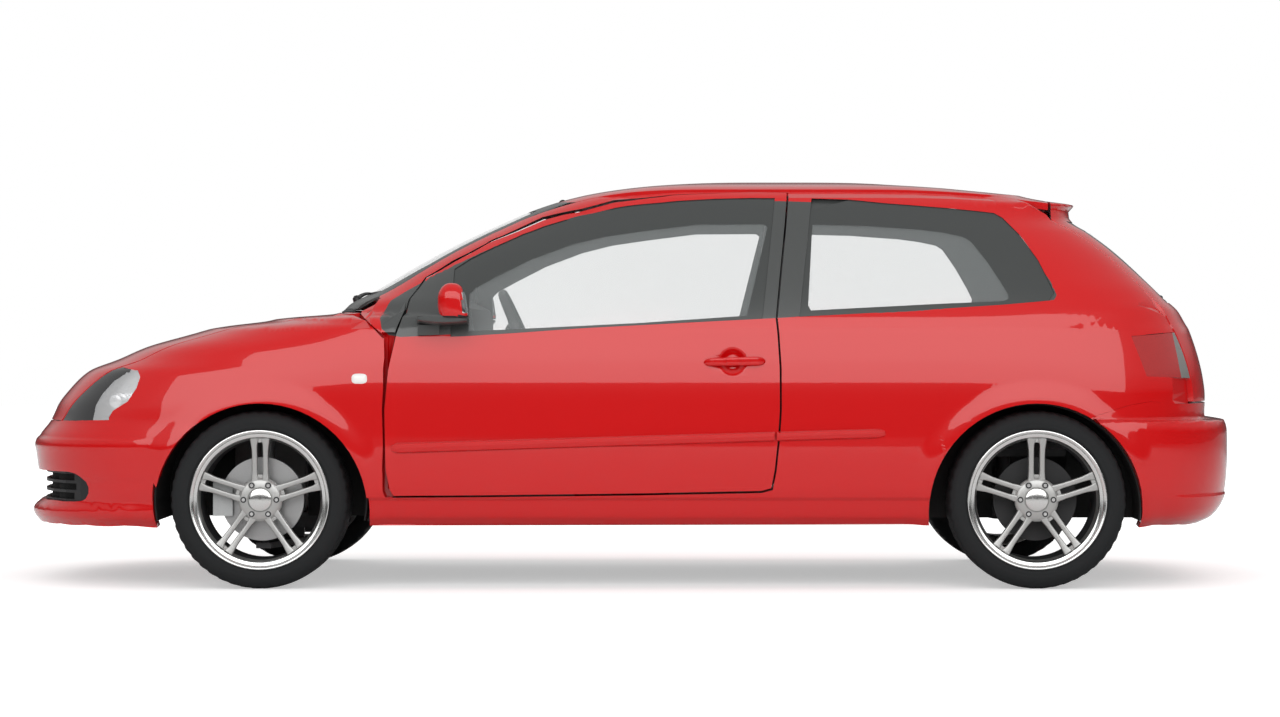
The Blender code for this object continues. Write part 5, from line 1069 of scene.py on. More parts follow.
@dataclass
class Wheel:
    """One road wheel: tyre with tread, alloy rim with paired spokes, brake disc and hub."""

    form: BodyForm
    spoke_foot_share: float = 0.35
    spoke_opening: float = 3.5
    spoke_foot: tuple[float, float] = (0.0030, 0.25)
    spoke_end: tuple[float, float] = (0.0060, 0.28)
    spoke_mouth: tuple[float, float] = (0.0060, 0.14)
    spoke_sink: float = 0.006
    spoke_rise: float = 0.011
    spoke_depths: tuple[float, float] = (0.030, 0.010)
    spoke_round: float = 0.0045
    bridges: tuple[tuple[float, float, float, float], ...] = (
        (0.2055, 0.033, 0.014, 0.010), (0.080, 0.024, 0.014, 0.020),
    )
    bridge_depth: tuple[float, float] = (-0.012, 0.008)
    # The middle step of each lug (finish 2) is the painted recess shade round the bolt.
    lug_steps: tuple[tuple[float, float, int, int], ...] = (
        (0.0125, -0.001, 0, 24), (0.0105, -0.0004, 2, 24), (0.0065, 0.0008, 1, 6),
    )
    lug_depth: float = 0.004
    steps: int = 144
    spokes: int = 5
    bar_width: float = 0.0185
    slot_width: float = 0.0195
    spoke_inner: float = 0.060
    spoke_outer: float = 0.210
    face: float = 0.087
    hub_radius: float = 0.076
    cap_radius: float = 0.040
    lug_ring: float = 0.057
    disc_radius: float = 0.145
    tread: tuple[tuple[float, float], ...] = (
        (-0.0945, 0.3055), (-0.0780, 0.3073), (-0.0620, 0.3078), (-0.0605, 0.3010), (-0.0525, 0.3010),
        (-0.0510, 0.3080), (-0.0215, 0.3080), (-0.0200, 0.3010), (-0.0120, 0.3010), (-0.0105, 0.3080),
        (0.0105, 0.3080), (0.0120, 0.3010), (0.0200, 0.3010), (0.0215, 0.3080), (0.0510, 0.3080),
        (0.0525, 0.3010), (0.0605, 0.3010), (0.0620, 0.3078), (0.0780, 0.3073), (0.0945, 0.3055),
    )
    wall: tuple[tuple[float, float], ...] = (
        (0.1005, 0.3020), (0.1040, 0.2965), (0.1068, 0.2900), (0.1075, 0.2890), (0.1105, 0.2800),
        (0.1118, 0.2700), (0.1120, 0.2640), (0.1108, 0.2590), (0.1110, 0.2575), (0.1112, 0.2515),
        (0.1090, 0.2475), (0.1045, 0.2440), (0.1010, 0.2419),
    )
    barrel: tuple[tuple[float, float], ...] = (
        (0.1010, 0.2415), (0.1030, 0.2405), (0.1035, 0.2380), (0.1020, 0.2340), (0.0985, 0.2300),
        (0.0960, 0.2280), (0.0950, 0.2210), (0.0930, 0.2170), (0.0860, 0.2140), (0.0600, 0.2080),
        (0.0300, 0.2050), (-0.0800, 0.2050), (-0.0980, 0.2300), (-0.1010, 0.2400), (-0.1010, 0.2415),
        (-0.0850, 0.2415), (-0.0700, 0.2150), (0.0300, 0.2130), (0.0700, 0.2160), (0.0800, 0.2415),
    )

    def build(self) -> None:
        """Builds the four wheels."""
        for end in ("front", "rear"):
            for side in Side:
                corner = f"{end}_{side.word}"
                centre = joint_place(f"wheel_spin_{corner}")
                self.tyre(corner, centre, side)
                self.rim(corner, centre, side, end)
        LOG.info("wheels")

    def spun(self, bm: bmesh.types.BMesh, profile: tuple[tuple[float, float], ...], steps: int) -> list:
        """Turns a closed profile of (reach outwards, radius) points round the axle.

        Args:
            bm: The mesh that takes it.
            profile: Its points; outwards is towards -Y.
            steps: How many steps the turn has.

        Returns:
            The new faces.
        """
        before = set(bm.faces)
        ring = [bm.verts.new((0, -out, radius)) for out, radius in profile]
        edges = [bm.edges.new((a, b)) for a, b in zip(ring, ring[1:] + ring[:1])]
        bmesh.ops.spin(bm, geom=ring + edges, cent=(0, 0, 0), axis=(0, 1, 0), angle=math.tau, steps=steps,
                       use_merge=True, use_duplicate=False)
        return [f for f in bm.faces if f not in before]

    def placed(self, bm: bmesh.types.BMesh, centre: Vector, side: Side) -> None:
        """Moves a wheel part, made for the left side at the origin, to its corner.

        Args:
            bm: The part's mesh.
            centre: The wheel's centre.
            side: The side of the car.
        """
        bmesh.ops.recalc_face_normals(bm, faces=bm.faces[:])
        if side is Side.RIGHT:
            bmesh.ops.scale(bm, vec=(1, -1, 1), verts=bm.verts[:])
            bmesh.ops.reverse_faces(bm, faces=bm.faces[:])
        bmesh.ops.translate(bm, vec=centre, verts=bm.verts[:])

    def tyre(self, corner: str, centre: Vector, side: Side) -> None:
        """A tyre with grooved tread, notched shoulders and ribbed side walls.

        Args:
            corner: The wheel's place in words, such as front_left.
            centre: The wheel's centre.
            side: The side of the car.
        """
        bm = bmesh.new()
        back = tuple((-out, radius) for out, radius in reversed(self.wall))
        profile = back + self.tread + self.wall
        self.spun(bm, profile, self.steps)
        for vert in bm.verts:
            reach = math.hypot(vert.co.x, vert.co.z)
            across = abs(vert.co.y)
            step = round(math.atan2(vert.co.x, vert.co.z) / math.tau * self.steps)
            if reach > 0.2995 and across > 0.062:
                if step % 3 == 0:
                    shrink = 1 - 0.0042 / reach
                    vert.co.x *= shrink
                    vert.co.z *= shrink
            elif reach > 0.3045 and across < 0.055 and step % 6 == (0 if vert.co.y > 0 else 3):
                shrink = 1 - 0.0026 / reach
                vert.co.x *= shrink
                vert.co.z *= shrink
        self.placed(bm, centre, side)
        piece = new_piece(f"tyre_rubber_{corner}", bm, [Finishes.rubber], f"wheel_{corner}", 40)
        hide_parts(f"tyre_{corner}")

    def rim(self, corner: str, centre: Vector, side: Side, end: str) -> None:
        """A rim: polished lip, barrel, five paired spokes, hub with six lugs, cap, brake disc and painted
        shade in its hollows.

        Args:
            corner: The wheel's place in words, such as front_left.
            centre: The wheel's centre.
            side: The side of the car.
            end: The end of the car, front or rear.
        """
        bm = bmesh.new()
        for face in self.spun(bm, self.barrel, 120):
            middle = face.calc_center_median()
            reach = math.hypot(middle.x, middle.z)
            face.material_index = 1 if -middle.y > 0.085 and reach > 0.2135 else 0
            # The deep inner barrel takes the painted recess shade.
            if -middle.y < 0.05 and reach < 0.2125:
                face.material_index = 2
        for index in range(self.spokes):
            self.spoke(bm, math.tau * index / self.spokes)
        self.hub(bm)
        disc = self.disc_radius
        for face in self.spun(bm, ((0.010, disc), (0.010, 0.06), (-0.014, 0.06), (-0.014, disc)), 96):
            face.material_index = 3
        # The bowl behind the hub takes the painted recess shade.
        bowl = ((0.0480, 0.070), (0.0480, 0.005), (-0.0197, 0.005), (-0.0197, 0.070))
        for face in self.spun(bm, bowl, 64):
            face.material_index = 2
        self.placed(bm, centre, side)
        brake = Finishes.disc if end == "front" else Finishes.drum
        looks = [Finishes.alloy, Finishes.polished, Finishes.recess, brake]
        piece = new_piece(f"alloy_rim_{corner}", bm, looks, f"wheel_{corner}", 30)
        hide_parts(f"rim_{corner}")

    def spoke(self, bm: bmesh.types.BMesh, turn: float) -> None:
        """One spoke: two crowned bars that meet at the hub and at the rim, with a dark slot between them.

        Args:
            bm: The mesh that takes it.
            turn: Its turn about the wheel's axis.
        """
        place = Matrix.Rotation(turn, 4, "Y")
        for side in (-1, 1):
            rings = []
            for step in range(9):
                along = step / 8
                radius = self.spoke_inner + (self.spoke_outer - self.spoke_inner) * along
                near = (self.slot_width / 2) * min(1, self.spoke_foot_share + self.spoke_opening * along)
                far = self.slot_width / 2 + self.bar_width
                wide, share = self.spoke_foot
                end_wide, end_share = self.spoke_end
                far += wide * max(0, share - along) / share
                far += end_wide * max(0, along - (1 - end_share)) / end_share
                wide, share = self.spoke_mouth
                near -= wide * max(0, along - (1 - share)) / share
                rise = self.face - self.spoke_sink + self.spoke_rise * along * along
                depth = self.spoke_depths[0] - self.spoke_depths[1] * along
                section = rounded_section(far - near, depth, self.spoke_round)
                rings.append([place @ Vector((side * (near + far) / 2 + a, -(rise - depth / 2 + b), radius))
                              for a, b in section])
            loft(bm, rings)
        for radius, half, tall, sink in self.bridges:
            low = self.face - sink
            section = rounded_section(half * 2, tall, 0.004)
            loft(bm, [[place @ Vector((a, -(low + lift), radius + b)) for a, b in section]
                      for lift in self.bridge_depth])

    def hub(self, bm: bmesh.types.BMesh) -> None:
        """The hub's face with its ring of six lugs and the domed cap.

        Args:
            bm: The mesh that takes it.
        """
        face = self.face
        hub = ((face - 0.006, self.hub_radius - 0.006), (face - 0.003, self.hub_radius - 0.012),
               (face - 0.002, self.cap_radius + 0.003), (face - 0.006, self.cap_radius + 0.001),
               (face - 0.006, 0.004), (face - 0.040, 0.004), (face - 0.040, self.hub_radius),
               (face - 0.012, self.hub_radius))
        self.spun(bm, hub, 80)
        dome = [(face - 0.004 + 0.008 * math.cos(a), max(0.0004, self.cap_radius * math.sin(a)))
                for a in (math.radians(d) for d in (0, 15, 30, 45, 60, 75, 90))]
        dome += [(face - 0.008, self.cap_radius), (face - 0.008, 0.0004)]
        for made in self.spun(bm, tuple(dome), 64):
            made.material_index = 1
        for index in range(6):
            angle = math.tau * (index + 0.5) / 6
            middle = Vector((self.lug_ring * math.sin(angle), 0, self.lug_ring * math.cos(angle)))
            # Finish 2 here is the painted recess shade round the bolt.
            for radius, lift, look, segments in self.lug_steps:
                before = set(bm.faces)
                centre = middle + Vector((0, -(face + lift) + self.lug_depth / 2, 0))
                bmesh.ops.create_cone(
                    bm, cap_ends=True, segments=segments, radius1=radius, radius2=radius, depth=self.lug_depth,
                    matrix=Matrix.Translation(centre) @ Matrix.Rotation(math.radians(90), 4, "X"),
                )
                for made in set(bm.faces) - before:
                    made.material_index = look


@dataclass
class SideTrim:
    """What sits on the car's flanks: rub strips, door handles, indicators and mirrors."""

    form: BodyForm
    strip_ends: tuple[float, float] = (-0.8060, 0.8923)
    strip_split: float = 0.5155
    strip_gap: float = 0.004
    strip_out: float = 0.016
    handle: tuple[float, float, float] = (0.2676, 0.4809, 0.7845)
    handle_height: float = 0.031
    handle_out: float = 0.030
    indicator: tuple[float, float] = (-0.9174, 0.7262)
    indicator_size: tuple[float, float] = (0.053, 0.035)
    mirror_low: tuple[float, float, float] = (-0.6510, 0.8900, 0.9380)
    mirror_high: tuple[float, float, float] = (-0.5457, 0.9880, 1.0560)

    def build(self) -> None:
        """Builds the trim of both sides."""
        for side in Side:
            self.rub_strip(side, f"door_{side.word}", self.strip_ends[0], self.strip_split - self.strip_gap)
            self.rub_strip(side, "body", self.strip_split + self.strip_gap, self.strip_ends[1])
            self.door_handle(side)
            self.side_indicator(side)
            self.mirror(side)
        LOG.info("side trim")

    def strip_edge(self, x: float) -> tuple[float, float]:
        """The rub strip's lower and upper height at a place along the car.

        Args:
            x: The place along the car.

        Returns:
            The two heights.
        """
        share = (x - self.strip_ends[0]) / (self.strip_ends[1] - self.strip_ends[0])
        low, high = 0.4705 + 0.0535 * share, 0.5067 + 0.0490 * share
        end = min(1, (self.strip_ends[1] - x) / 0.02, (x - self.strip_ends[0]) / 0.01)
        middle, half = (low + high) / 2, (high - low) / 2 * (0.55 + 0.45 * max(0, end))
        return middle - half, middle + half

    def laid(self, side: Side, columns: int, rows: int,
             place: Callable[[float, float], tuple[float, float, float]], thick: float) -> bmesh.types.BMesh:
        """A grid laid on the skin and thickened inwards.

        Args:
            side: The side of the car.
            columns: Steps along it.
            rows: Steps up it.
            place: Gives x, z and the distance out of the skin for two shares.
            thick: Its thickness.

        Returns:
            The mesh.
        """
        bm = bmesh.new()
        bmesh.ops.create_grid(bm, x_segments=columns, y_segments=rows, size=0.5)
        shares = [(v.co.x + 0.5, v.co.y + 0.5) for v in bm.verts]
        where = [place(u, v) for u, v in shares]
        points = np.array([(x, side.value * self.form.body_half * 0.98, z) for x, z, _ in where])
        points = self.form.snapped(self.form.snapped(points))
        outs = np.array([[out] for _, _, out in where])
        points = points + self.form.normals(points) * outs
        for vert, point in zip(bm.verts, points):
            vert.co = point
        bmesh.ops.recalc_face_normals(bm, faces=bm.faces[:])
        face = bm.faces[:][0]
        if face.normal.y * side.value < 0:
            bmesh.ops.reverse_faces(bm, faces=bm.faces[:])
        bmesh.ops.solidify(bm, geom=bm.faces[:], thickness=thick)
        bmesh.ops.recalc_face_normals(bm, faces=bm.faces[:])
        return bm

    def rub_strip(self, side: Side, body: str, start: float, end: float) -> None:
        """A painted rub strip with a rounded section.

        Args:
            side: The side of the car.
            body: The body that carries it.
            start: Where it starts along the car.
            end: Where it ends.
        """

        def place(u: float, v: float) -> tuple[float, float, float]:
            """The strip's place for its two shares."""
            x = start + (end - start) * u
            low, high = self.strip_edge(x)
            swell = float(np.interp(v, (0, 0.10, 0.50, 0.86, 1.0), (0, 0.66, 0.96, 1.0, 0.04)))
            ends = min(1, (self.strip_ends[1] + 0.004 - x) / 0.03, (x - self.strip_ends[0] + 0.006) / 0.02)
            return x, low + (high - low) * v, self.strip_out * swell * max(0.1, ends) + 0.0006

        bm = self.laid(side, max(12, round((end - start) / 0.02)), 14, place, 0.006)
        place_name = body if body != "body" else f"quarter_{side.word}"
        new_piece(f"rub_strip_{place_name}", bm, [Finishes.paint], body, 50, slot="red_paint")

    def door_handle(self, side: Side) -> None:
        """A pull handle over its cup: a tapered bar that meets the skin at both ends.

        Args:
            side: The side of the car.
        """
        bm = bmesh.new()
        low, high, middle = self.handle
        rings = []
        for step in range(25):
            u = step / 24
            close = min(u, 1 - u)
            point = np.array([[low + (high - low) * u, side.value * self.form.body_half * 0.98,
                               middle + (u - 0.5) * 0.004]])
            for _ in range(2):
                point = self.form.snapped(point, detailed=False)
            out = Vector(self.form.normals(point)[0])
            lift = self.handle_out * 0.62 * min(1, 6 * close) ** 0.6 - 0.004
            tall = self.handle_height * (0.35 + 0.65 * min(1, 9 * close) ** 0.5) * (0.88 + 0.12 * u)
            deep = 0.011 + 0.004 * min(1, 9 * close)
            section = rounded_section(tall, deep, min(tall, deep) * 0.45)
            rings.append([Vector(point[0]) + out * (lift + b) + Vector((0, 0, a)) for a, b in section])
        loft(bm, rings)
        closed_piece(f"door_handle_{side.word}", bm, [Finishes.paint], f"door_{side.word}", 60,
                     slot="red_paint")

    def side_indicator(self, side: Side) -> None:
        """The small oval repeater lamp on the wing.

        Args:
            side: The side of the car.
        """
        middle_x, middle_z = self.indicator
        wide, tall = self.indicator_size

        def place(u: float, v: float) -> tuple[float, float, float]:
            """The lamp's place for its two shares: a square drawn onto an oval."""
            a, b = 2 * u - 1, 2 * v - 1
            rx, rz = a * math.sqrt(1 - b * b / 2), b * math.sqrt(1 - a * a / 2)
            p = 3.2
            size = max(abs(a), abs(b))
            length = (abs(rx) ** p + abs(rz) ** p) ** (1 / p)
            rx, rz = (rx / length * size, rz / length * size) if length > 1e-6 else (0, 0)
            bulge = 0.0055 * (1 - size ** 4) + 0.0012
            return middle_x + rx * wide / 2, middle_z + rz * tall / 2, bulge

        bm = self.laid(side, 20, 14, place, 0.004)
        new_piece(f"side_indicator_{side.word}", bm, [Finishes.white_lens], "body", 60, slot="clear_lamp")

    def mirror(self, side: Side) -> None:
        """A door mirror: painted cap, dark foot that grows from the window's corner, and the glass.

        Args:
            side: The side of the car.
        """
        low, high = Vector(self.mirror_low), Vector(self.mirror_high)
        size, middle = high - low, (high + low) / 2
        middle.y *= side.value
        bm = bmesh.new()
        bmesh.ops.create_uvsphere(bm, u_segments=48, v_segments=32, radius=0.5)
        for vert in bm.verts:
            x, y, z = vert.co * 2
            flat = 3.4 if x > 0 else 2.1
            norm = (abs(x) ** flat + abs(y) ** 2.6 + abs(z) ** (2.2 if z > 0 else 6)) ** (1 / 2.6)
            x, y, z = (c / max(norm, 1e-6) for c in (x, y, z))
            x, y, z = (max(-1, min(1, c)) for c in (x, y, z))
            taper = 1 - 0.14 * (z + 1) / 2
            along = x * taper * size.x / 2 + 0.004 * (1 - z)
            vert.co = Vector((along, y * side.value * size.y / 2, z * size.z / 2))
        bmesh.ops.recalc_face_normals(bm, faces=bm.faces[:])
        bmesh.ops.translate(bm, vec=middle, verts=bm.verts[:])
        for face in bm.faces:
            spot = face.calc_center_median()
            if spot.x > high.x - 0.012 and low.z + 0.012 < spot.z < high.z - 0.014:
                face.material_index = 1
            elif spot.z < low.z + 0.007:
                face.material_index = 2
        cap = new_piece(f"mirror_cap_{side.word}", bm, [Finishes.paint, Finishes.mirror_glass, Finishes.trim],
                        f"door_{side.word}", 60)
        foot = bmesh.new()
        bmesh.ops.create_cube(foot, size=1.0)
        bmesh.ops.subdivide_edges(foot, edges=foot.edges[:], cuts=5, use_grid_fill=True)
        root = abs(self.form.side_point(-0.66, 0.93, side).y)
        for vert in foot.verts:
            u, v, w = vert.co.x + 0.5, vert.co.y + 0.5, vert.co.z
            start, end = -0.7239 + 0.012 * v, -0.5421
            x = start + (end - start) * u
            thick = (0.012 + 0.022 * math.sin(math.pi * min(1, u * 0.9 + 0.1)) ** 0.8) * (1 - 0.25 * v)
            y = root - 0.020 + (high.y - 0.012 - root + 0.020) * v - 0.02 * v * (1 - u)
            vert.co = Vector((x, side.value * y, 0.9365 - 0.010 * (1 - v) + w * thick - 0.006 * u))
        edges = [e for e in foot.edges if e.calc_face_angle(0) > 0.7]
        bmesh.ops.recalc_face_normals(foot, faces=foot.faces[:])
        bmesh.ops.bevel(foot, geom=edges, offset=0.004, segments=3, profile=0.5, affect="EDGES", material=-1)
        arm = new_piece(f"mirror_foot_{side.word}", foot, [Finishes.pillar], f"door_{side.word}", 60)
        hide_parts(f"mirror_{side.word}")
        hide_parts(f"mirror_{side.word}")


@dataclass
class Fittings:
    """Small outside pieces: the intake's duct, the wipers and the nub on the roof."""

    form: BodyForm
    duct_half: float = 0.685
    duct_middle: float = 0.346
    duct_section: tuple[float, float, float] = (0.006, 0.106, 0.002)
    duct_gap: float = 0.006
    duct_steps: int = 28
    duct_near: int = 24
    arm_radius: float = 0.006
    blade_radius: float = 0.005
    blade_out: float = 0.014
    blade_lift: float = 0.008
    blade_behind: float = 0.035
    arm_lift: float = 0.006
    sweeps: tuple[tuple[float, float, float, float], ...] = (
        (-0.975, -0.300, -0.925, 0.190), (-0.972, 0.250, -0.880, 0.560),
    )

    def build(self) -> None:
        """Builds the fittings."""
        self.duct()
        for index, sweep in enumerate(self.sweeps):
            self.front_wiper(index, sweep)
        self.rear_wiper()
        self.nozzle()
        LOG.info("fittings")

    def duct(self) -> None:
        """The duct behind the intake's slats, in near-black felt that is painted shade for the dark inside of
        the intake.
        """
        bm = bmesh.new()
        rings = []
        points = [v.co for v in frame["nodes"]["lower_grille"].data.vertices]
        section = rounded_section(*self.duct_section, 2)
        for step in range(self.duct_steps + 1):
            y = -self.duct_half + 2 * self.duct_half * step / self.duct_steps
            back = max(p.x for p in sorted(points, key=lambda p: abs(p.y - y))[:self.duct_near])
            rings.append([Vector((back + self.duct_gap + a, y, self.duct_middle + b)) for a, b in section])
        loft(bm, rings)
        # Painted shade: the duct's near-black colour stands for the shade inside the intake opening.
        closed_piece("intake_duct", bm, [Finishes.liner], "body", slot="black_trim")

    def tube(self, bm: bmesh.types.BMesh, points: list[Vector], radii: list[float], look: int = 0) -> None:
        """A round bar through points, with a radius at each.

        Args:
            bm: The mesh that takes it.
            points: The points in order.
            radii: The radius at each point.
            look: The number of its finish.
        """
        rings = []
        for index, point in enumerate(points):
            ahead = points[min(index + 1, len(points) - 1)] - points[max(index - 1, 0)]
            turn = ahead.to_track_quat("Z", "Y").to_matrix()
            rings.append([point + turn @ Vector((radii[index] * math.cos(a), radii[index] * math.sin(a), 0))
                          for a in (math.tau * k / 12 for k in range(12))])
        loft(bm, rings, look)

    def on_skin(self, x: float, y: float, z: float, out: float) -> Vector:
        """The skin's point nearest to a place, moved out of the skin.

        Args:
            x: The place along the car.
            y: The place across the car.
            z: The place's height.
            out: How far out of the skin it ends.

        Returns:
            The point.
        """
        point = np.array([[x, y, z]])
        for _ in range(3):
            point = self.form.snapped(point, detailed=False)
        return Vector(point[0] + self.form.normals(point)[0] * out)

    def front_wiper(self, index: int, sweep: tuple[float, float, float, float]) -> None:
        """One windscreen wiper at rest: pivot cap, arm and blade along the foot of the glass.

        Args:
            index: Its number.
            sweep: X and Y of its pivot and of its tip.
        """
        bm = bmesh.new()
        x0, y0, x1, y1 = sweep
        steps = [k / 14 for k in range(15)]
        path = [self.on_skin(x0 + (x1 - x0) * t, y0 + (y1 - y0) * t, 1.0,
                             self.arm_lift + self.blade_out * math.sin(math.pi * t)) for t in steps]
        self.tube(bm, path, [self.arm_radius * (1.5 - t) for t in steps])
        back, lift = self.blade_behind, self.blade_lift
        blade = [self.on_skin(x0 + (x1 - x0) * t + back, y0 + (y1 - y0) * t, 1.0, lift)
                 for t in (0.25 + 0.75 * k / 14 for k in range(15))]
        self.tube(bm, blade, [self.blade_radius] * 15, 1)
        self.tube(bm, [path[11], blade[10]], [self.blade_radius] * 2)
        cap = self.on_skin(x0, y0, 1.0, 0.0)
        crown = [cap, cap + Vector((-0.004, 0, 0.012)), cap + Vector((-0.006, 0, 0.020))]
        self.tube(bm, crown, [0.015, 0.014, 0.006])
        looks = [Finishes.trim, Finishes.rubber]
        closed_piece(f"front_wiper_{index + 1}", bm, looks, "body", slot="black_trim")

    def rear_wiper(self) -> None:
        """The rear wiper: a boss under the rear window and an arm that lies along its foot."""
        bm = bmesh.new()
        root = self.on_skin(1.955, 0.0, 0.985, -0.004)
        out = Vector(self.form.normals(np.array([list(root)]))[0])
        self.tube(bm, [root, root + out * 0.016, root + out * 0.030, root + out * 0.034],
                  [0.022, 0.020, 0.016, 0.008])
        steps = [k / 10 for k in range(11)]
        arm = [self.on_skin(1.94 - 0.03 * t, 0.33 * t, 0.995 + 0.055 * t, 0.026 - 0.010 * t) for t in steps]
        self.tube(bm, arm, [0.010 - 0.005 * k / 10 for k in range(11)])
        blade = [self.on_skin(1.925 - 0.03 * t, 0.06 + 0.34 * t, 1.012 + 0.050 * t, self.blade_lift)
                 for t in steps]
        self.tube(bm, blade, [self.blade_radius] * 11, 1)
        self.tube(bm, [arm[8], blade[6]], [self.blade_radius] * 2)
        closed_piece("rear_wiper", bm, [Finishes.trim, Finishes.rubber], "tailgate", slot="black_trim")

    def nozzle(self) -> None:
        """The small dark nub at the front edge of the roof."""
        bm = bmesh.new()
        path = [self.on_skin(-0.262 + 0.034 * t, 0.0, 1.36, -0.002 + 0.011 * math.sin(math.pi * t))
                for t in (k / 8 for k in range(9))]
        self.tube(bm, path, [0.003 + 0.006 * math.sin(math.pi * k / 8) for k in range(9)])
        closed_piece("roof_nub", bm, [Finishes.trim], "body", slot="black_trim")


Pad = tuple[tuple[float, float], tuple[float, float, float], float, tuple[float, ...]]


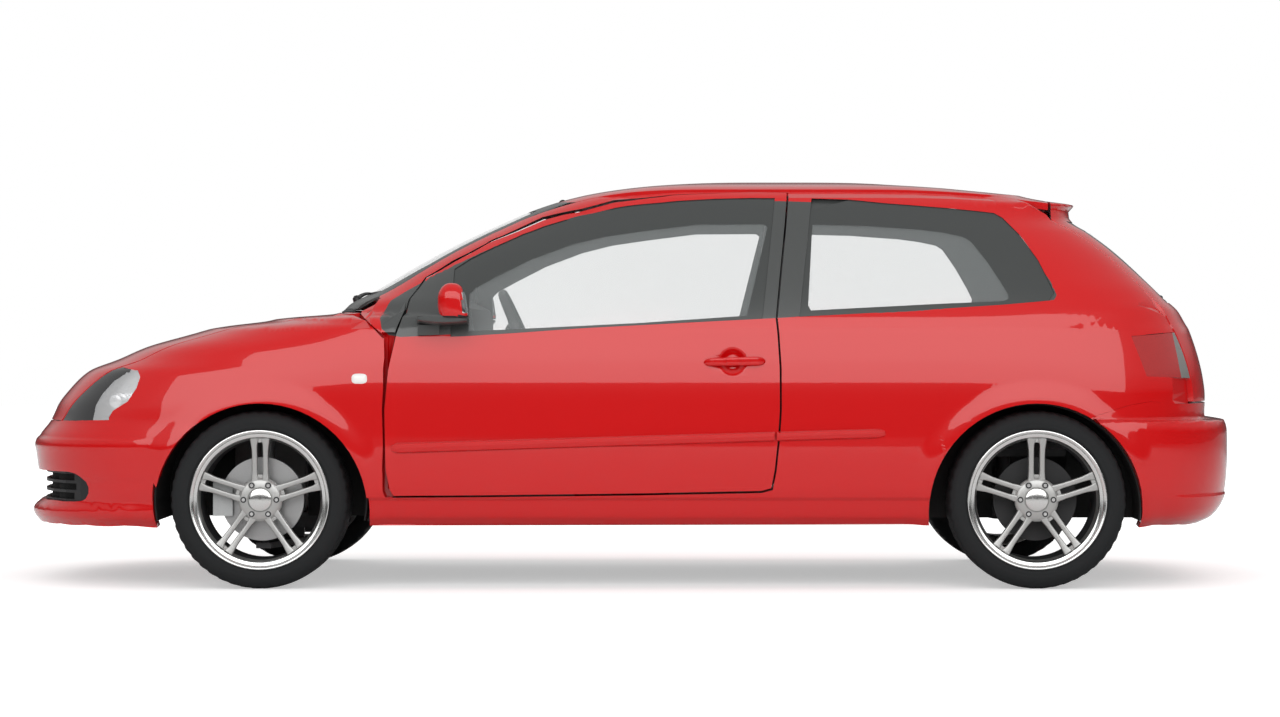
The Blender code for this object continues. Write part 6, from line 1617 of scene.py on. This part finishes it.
@dataclass
class Cabin:
    """Seats as crowned pads with seams, and the steering wheel.

    Each pad is given as its x and z, its size, its lean in degrees and where its seams lie.
    """

    groove: float = 0.006
    groove_width: float = 0.010
    seat_side: float = 0.36
    front_pads: tuple[Pad, ...] = (
        ((-0.045, 0.405), (0.485, 0.485, 0.135), -4, (0.60,)),
        ((0.238, 0.665), (0.455, 0.470, 0.125), -74, (0.58,)),
    )
    rear_pads: tuple[Pad, ...] = (
        ((0.850, 0.400), (0.480, 1.120, 0.150), -5, (0.06, 0.62)),
        ((1.130, 0.660), (0.455, 1.110, 0.130), -70, (0.06, 0.62)),
    )
    front_foot: tuple[float, float, float] = (-0.02, 0.34, 0.30)
    rear_foot: tuple[float, float, float] = (0.86, 0.40, 1.06)
    foot_round: float = 0.03
    floor_top: float = 0.256
    rim: tuple[float, float] = (0.180, 0.0165)
    rake: float = 24.0
    column_radius: float = 0.024

    def build(self) -> None:
        """Builds the cabin."""
        for side in Side:
            self.front_seat(side)
        self.rear_seat()
        self.steering_wheel()
        LOG.info("cabin")

    def pad(self, bm: bmesh.types.BMesh, middle: tuple[float, float, float], size: tuple[float, float, float],
            lean: float, seams: tuple[float, ...], cuts: int = 34) -> None:
        """A crowned closed pad with piped seams.

        Args:
            bm: The mesh that takes it.
            middle: Its centre.
            size: Its size along, across and thick.
            lean: Its turn about the cross axis, in degrees.
            seams: Where its lengthwise seams lie, as shares of its half width.
            cuts: How finely it is divided.
        """
        made = bmesh.ops.create_cube(bm, size=2.0)
        edges = list({e for v in made["verts"] for e in v.link_edges})
        before = set(bm.verts) - set(made["verts"])
        bmesh.ops.subdivide_edges(bm, edges=edges, cuts=cuts, use_grid_fill=True)
        turn = Matrix.Translation(middle) @ Matrix.Rotation(math.radians(lean), 4, "Y")
        for vert in (v for v in bm.verts if v not in before):
            x, y, z = vert.co
            norm = (abs(x) ** 6 + abs(y) ** 6 + abs(z) ** 3.2) ** (1 / 5.2)
            x, y, z = (max(-1.0, min(1.0, c / norm)) for c in (x, y, z))
            dip = sum(math.exp(-((abs(y) - seam) * size[1] / 2 / self.groove_width) ** 2) for seam in seams)
            dip += math.exp(-((x - 0.82) * size[0] / 2 / self.groove_width) ** 2) * (abs(y) < 0.8)
            bolster = 0.20 * max(0, abs(y) - 0.62) / 0.38 - 0.10 * math.cos(x * 1.6) * (abs(y) < 0.62)
            high = z * size[2] / 2 * (1 + (bolster if z > 0 else 0)) - (self.groove * dip if z > 0.2 else 0)
            vert.co = turn @ Vector((x * size[0] / 2, y * size[1] / 2, high))

    def front_seat(self, side: Side) -> None:
        """A front seat: cushion and back with side bolsters, over its foot.

        Args:
            side: The side of the car.
        """
        y = side.value * self.seat_side
        bm = bmesh.new()
        for (x, z), size, lean, seams in self.front_pads:
            self.pad(bm, (x, y, z), size, lean, seams)
        seat = closed_piece(f"front_seat_pad_{side.word}", bm, [Finishes.fabric], "body", 60)
        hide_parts(f"front_seat_{side.word}")
        foot = bmesh.new()
        middle, long, wide = self.front_foot
        section = rounded_section(long, wide, self.foot_round)
        loft(foot, [[Vector((middle + a, y + b, z)) for a, b in section] for z in (self.floor_top, 0.345)])
        closed_piece(f"front_seat_base_{side.word}", foot, [Finishes.trim], "body", slot="black_trim")

    def rear_seat(self) -> None:
        """The rear bench: one cushion and one back, each with seams."""
        bm = bmesh.new()
        for (x, z), size, lean, seams in self.rear_pads:
            self.pad(bm, (x, 0, z), size, lean, seams, 44)
        bench = closed_piece("rear_bench_pad", bm, [Finishes.fabric], "body", 60)
        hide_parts("rear_seat")
        foot = bmesh.new()
        middle, long, wide = self.rear_foot
        section = rounded_section(long, wide, self.foot_round)
        loft(foot, [[Vector((middle + a, b, z)) for a, b in section] for z in (self.floor_top, 0.34)])
        closed_piece("rear_bench_base", foot, [Finishes.trim], "body", slot="black_trim")

    def steering_wheel(self) -> None:
        """The steering wheel: padded rim, three spokes, centre pad and column."""
        bm = bmesh.new()
        big, small = self.rim
        ring = [bm.verts.new((big + small * math.cos(a), 0, small * math.sin(a)))
                for a in (math.tau * k / 16 for k in range(16))]
        edges = [bm.edges.new((a, b)) for a, b in zip(ring, ring[1:] + ring[:1])]
        bmesh.ops.spin(bm, geom=ring + edges, cent=(0, 0, 0), axis=(0, 0, 1), angle=math.tau, steps=72,
                       use_merge=True, use_duplicate=False)
        for turn in (0, 90, 180):
            spin = Matrix.Rotation(math.radians(turn), 3, "Z")
            rings = []
            for step in range(7):
                t = step / 6
                section = rounded_section(0.044 - 0.014 * t, 0.016, 0.006)
                reach = 0.045 + (big - 0.045) * t
                rings.append([spin @ Vector((reach, a, -0.022 * (1 - t) + b)) for a, b in section])
            loft(bm, rings)
        pad = rounded_section(0.150, 0.130, 0.045, 8)
        loft(bm, [[Vector((a * s, b * s, z)) for a, b in pad]
                  for z, s in ((-0.045, 0.80), (-0.030, 0.98), (-0.012, 1.0), (-0.002, 0.94), (0.003, 0.70))])
        column = [(self.column_radius * math.cos(a), self.column_radius * math.sin(a))
                  for a in (math.tau * k / 24 for k in range(24))]
        loft(bm, [[Vector((a, b, z)) for a, b in column] for z in (-0.1495, -0.040)])
        bmesh.ops.recalc_face_normals(bm, faces=bm.faces[:])
        place = Matrix.Translation(joint_place("steering_wheel_turn"))
        place = place @ Matrix.Rotation(math.radians(90 - self.rake), 4, "Y")
        bmesh.ops.transform(bm, matrix=place, verts=bm.verts[:])
        wheel = new_piece("leather_steering_wheel", bm, [Finishes.leather], "steering_wheel", 50)
        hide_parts("steering_wheel")


def dress_hidden_nodes() -> None:
    """Gives the CAD nodes that stay in view their finishes."""
    for node, finish in (
        ("cowl_panel", Finishes.trim), ("floor_pan", Finishes.trim), ("dashboard", Finishes.cabin),
        ("engine_block", Finishes.engine), ("front_subframe", Finishes.steel), ("rear_axle", Finishes.steel),
        ("exhaust", Finishes.steel), ("lower_grille", Finishes.trim),
    ):
        dress(node, finish)
    for side in Side:
        for node, finish in (
            ("front_liner", Finishes.liner), ("rear_liner", Finishes.liner), ("knuckle", Finishes.caliper),
        ):
            dress(f"{node}_{side.word}", finish)


def main() -> None:
    """Builds the studio and the car's looks, piece by piece."""
    logging.basicConfig(level=logging.INFO, format="%(name)s: %(message)s")
    bpy.context.scene.view_settings.view_transform = "Standard"
    form = BodyForm()
    Studio().build()
    dress_hidden_nodes()
    refiner = SkinRefiner(form)
    BodyPanels(form, refiner).build()
    Glazing(form, refiner).build()
    Lamps(form, refiner).build()
    Wheel(form).build()
    SideTrim(form).build()
    Fittings(form).build()
    Cabin().build()


if __name__ == "__main__":
    main()
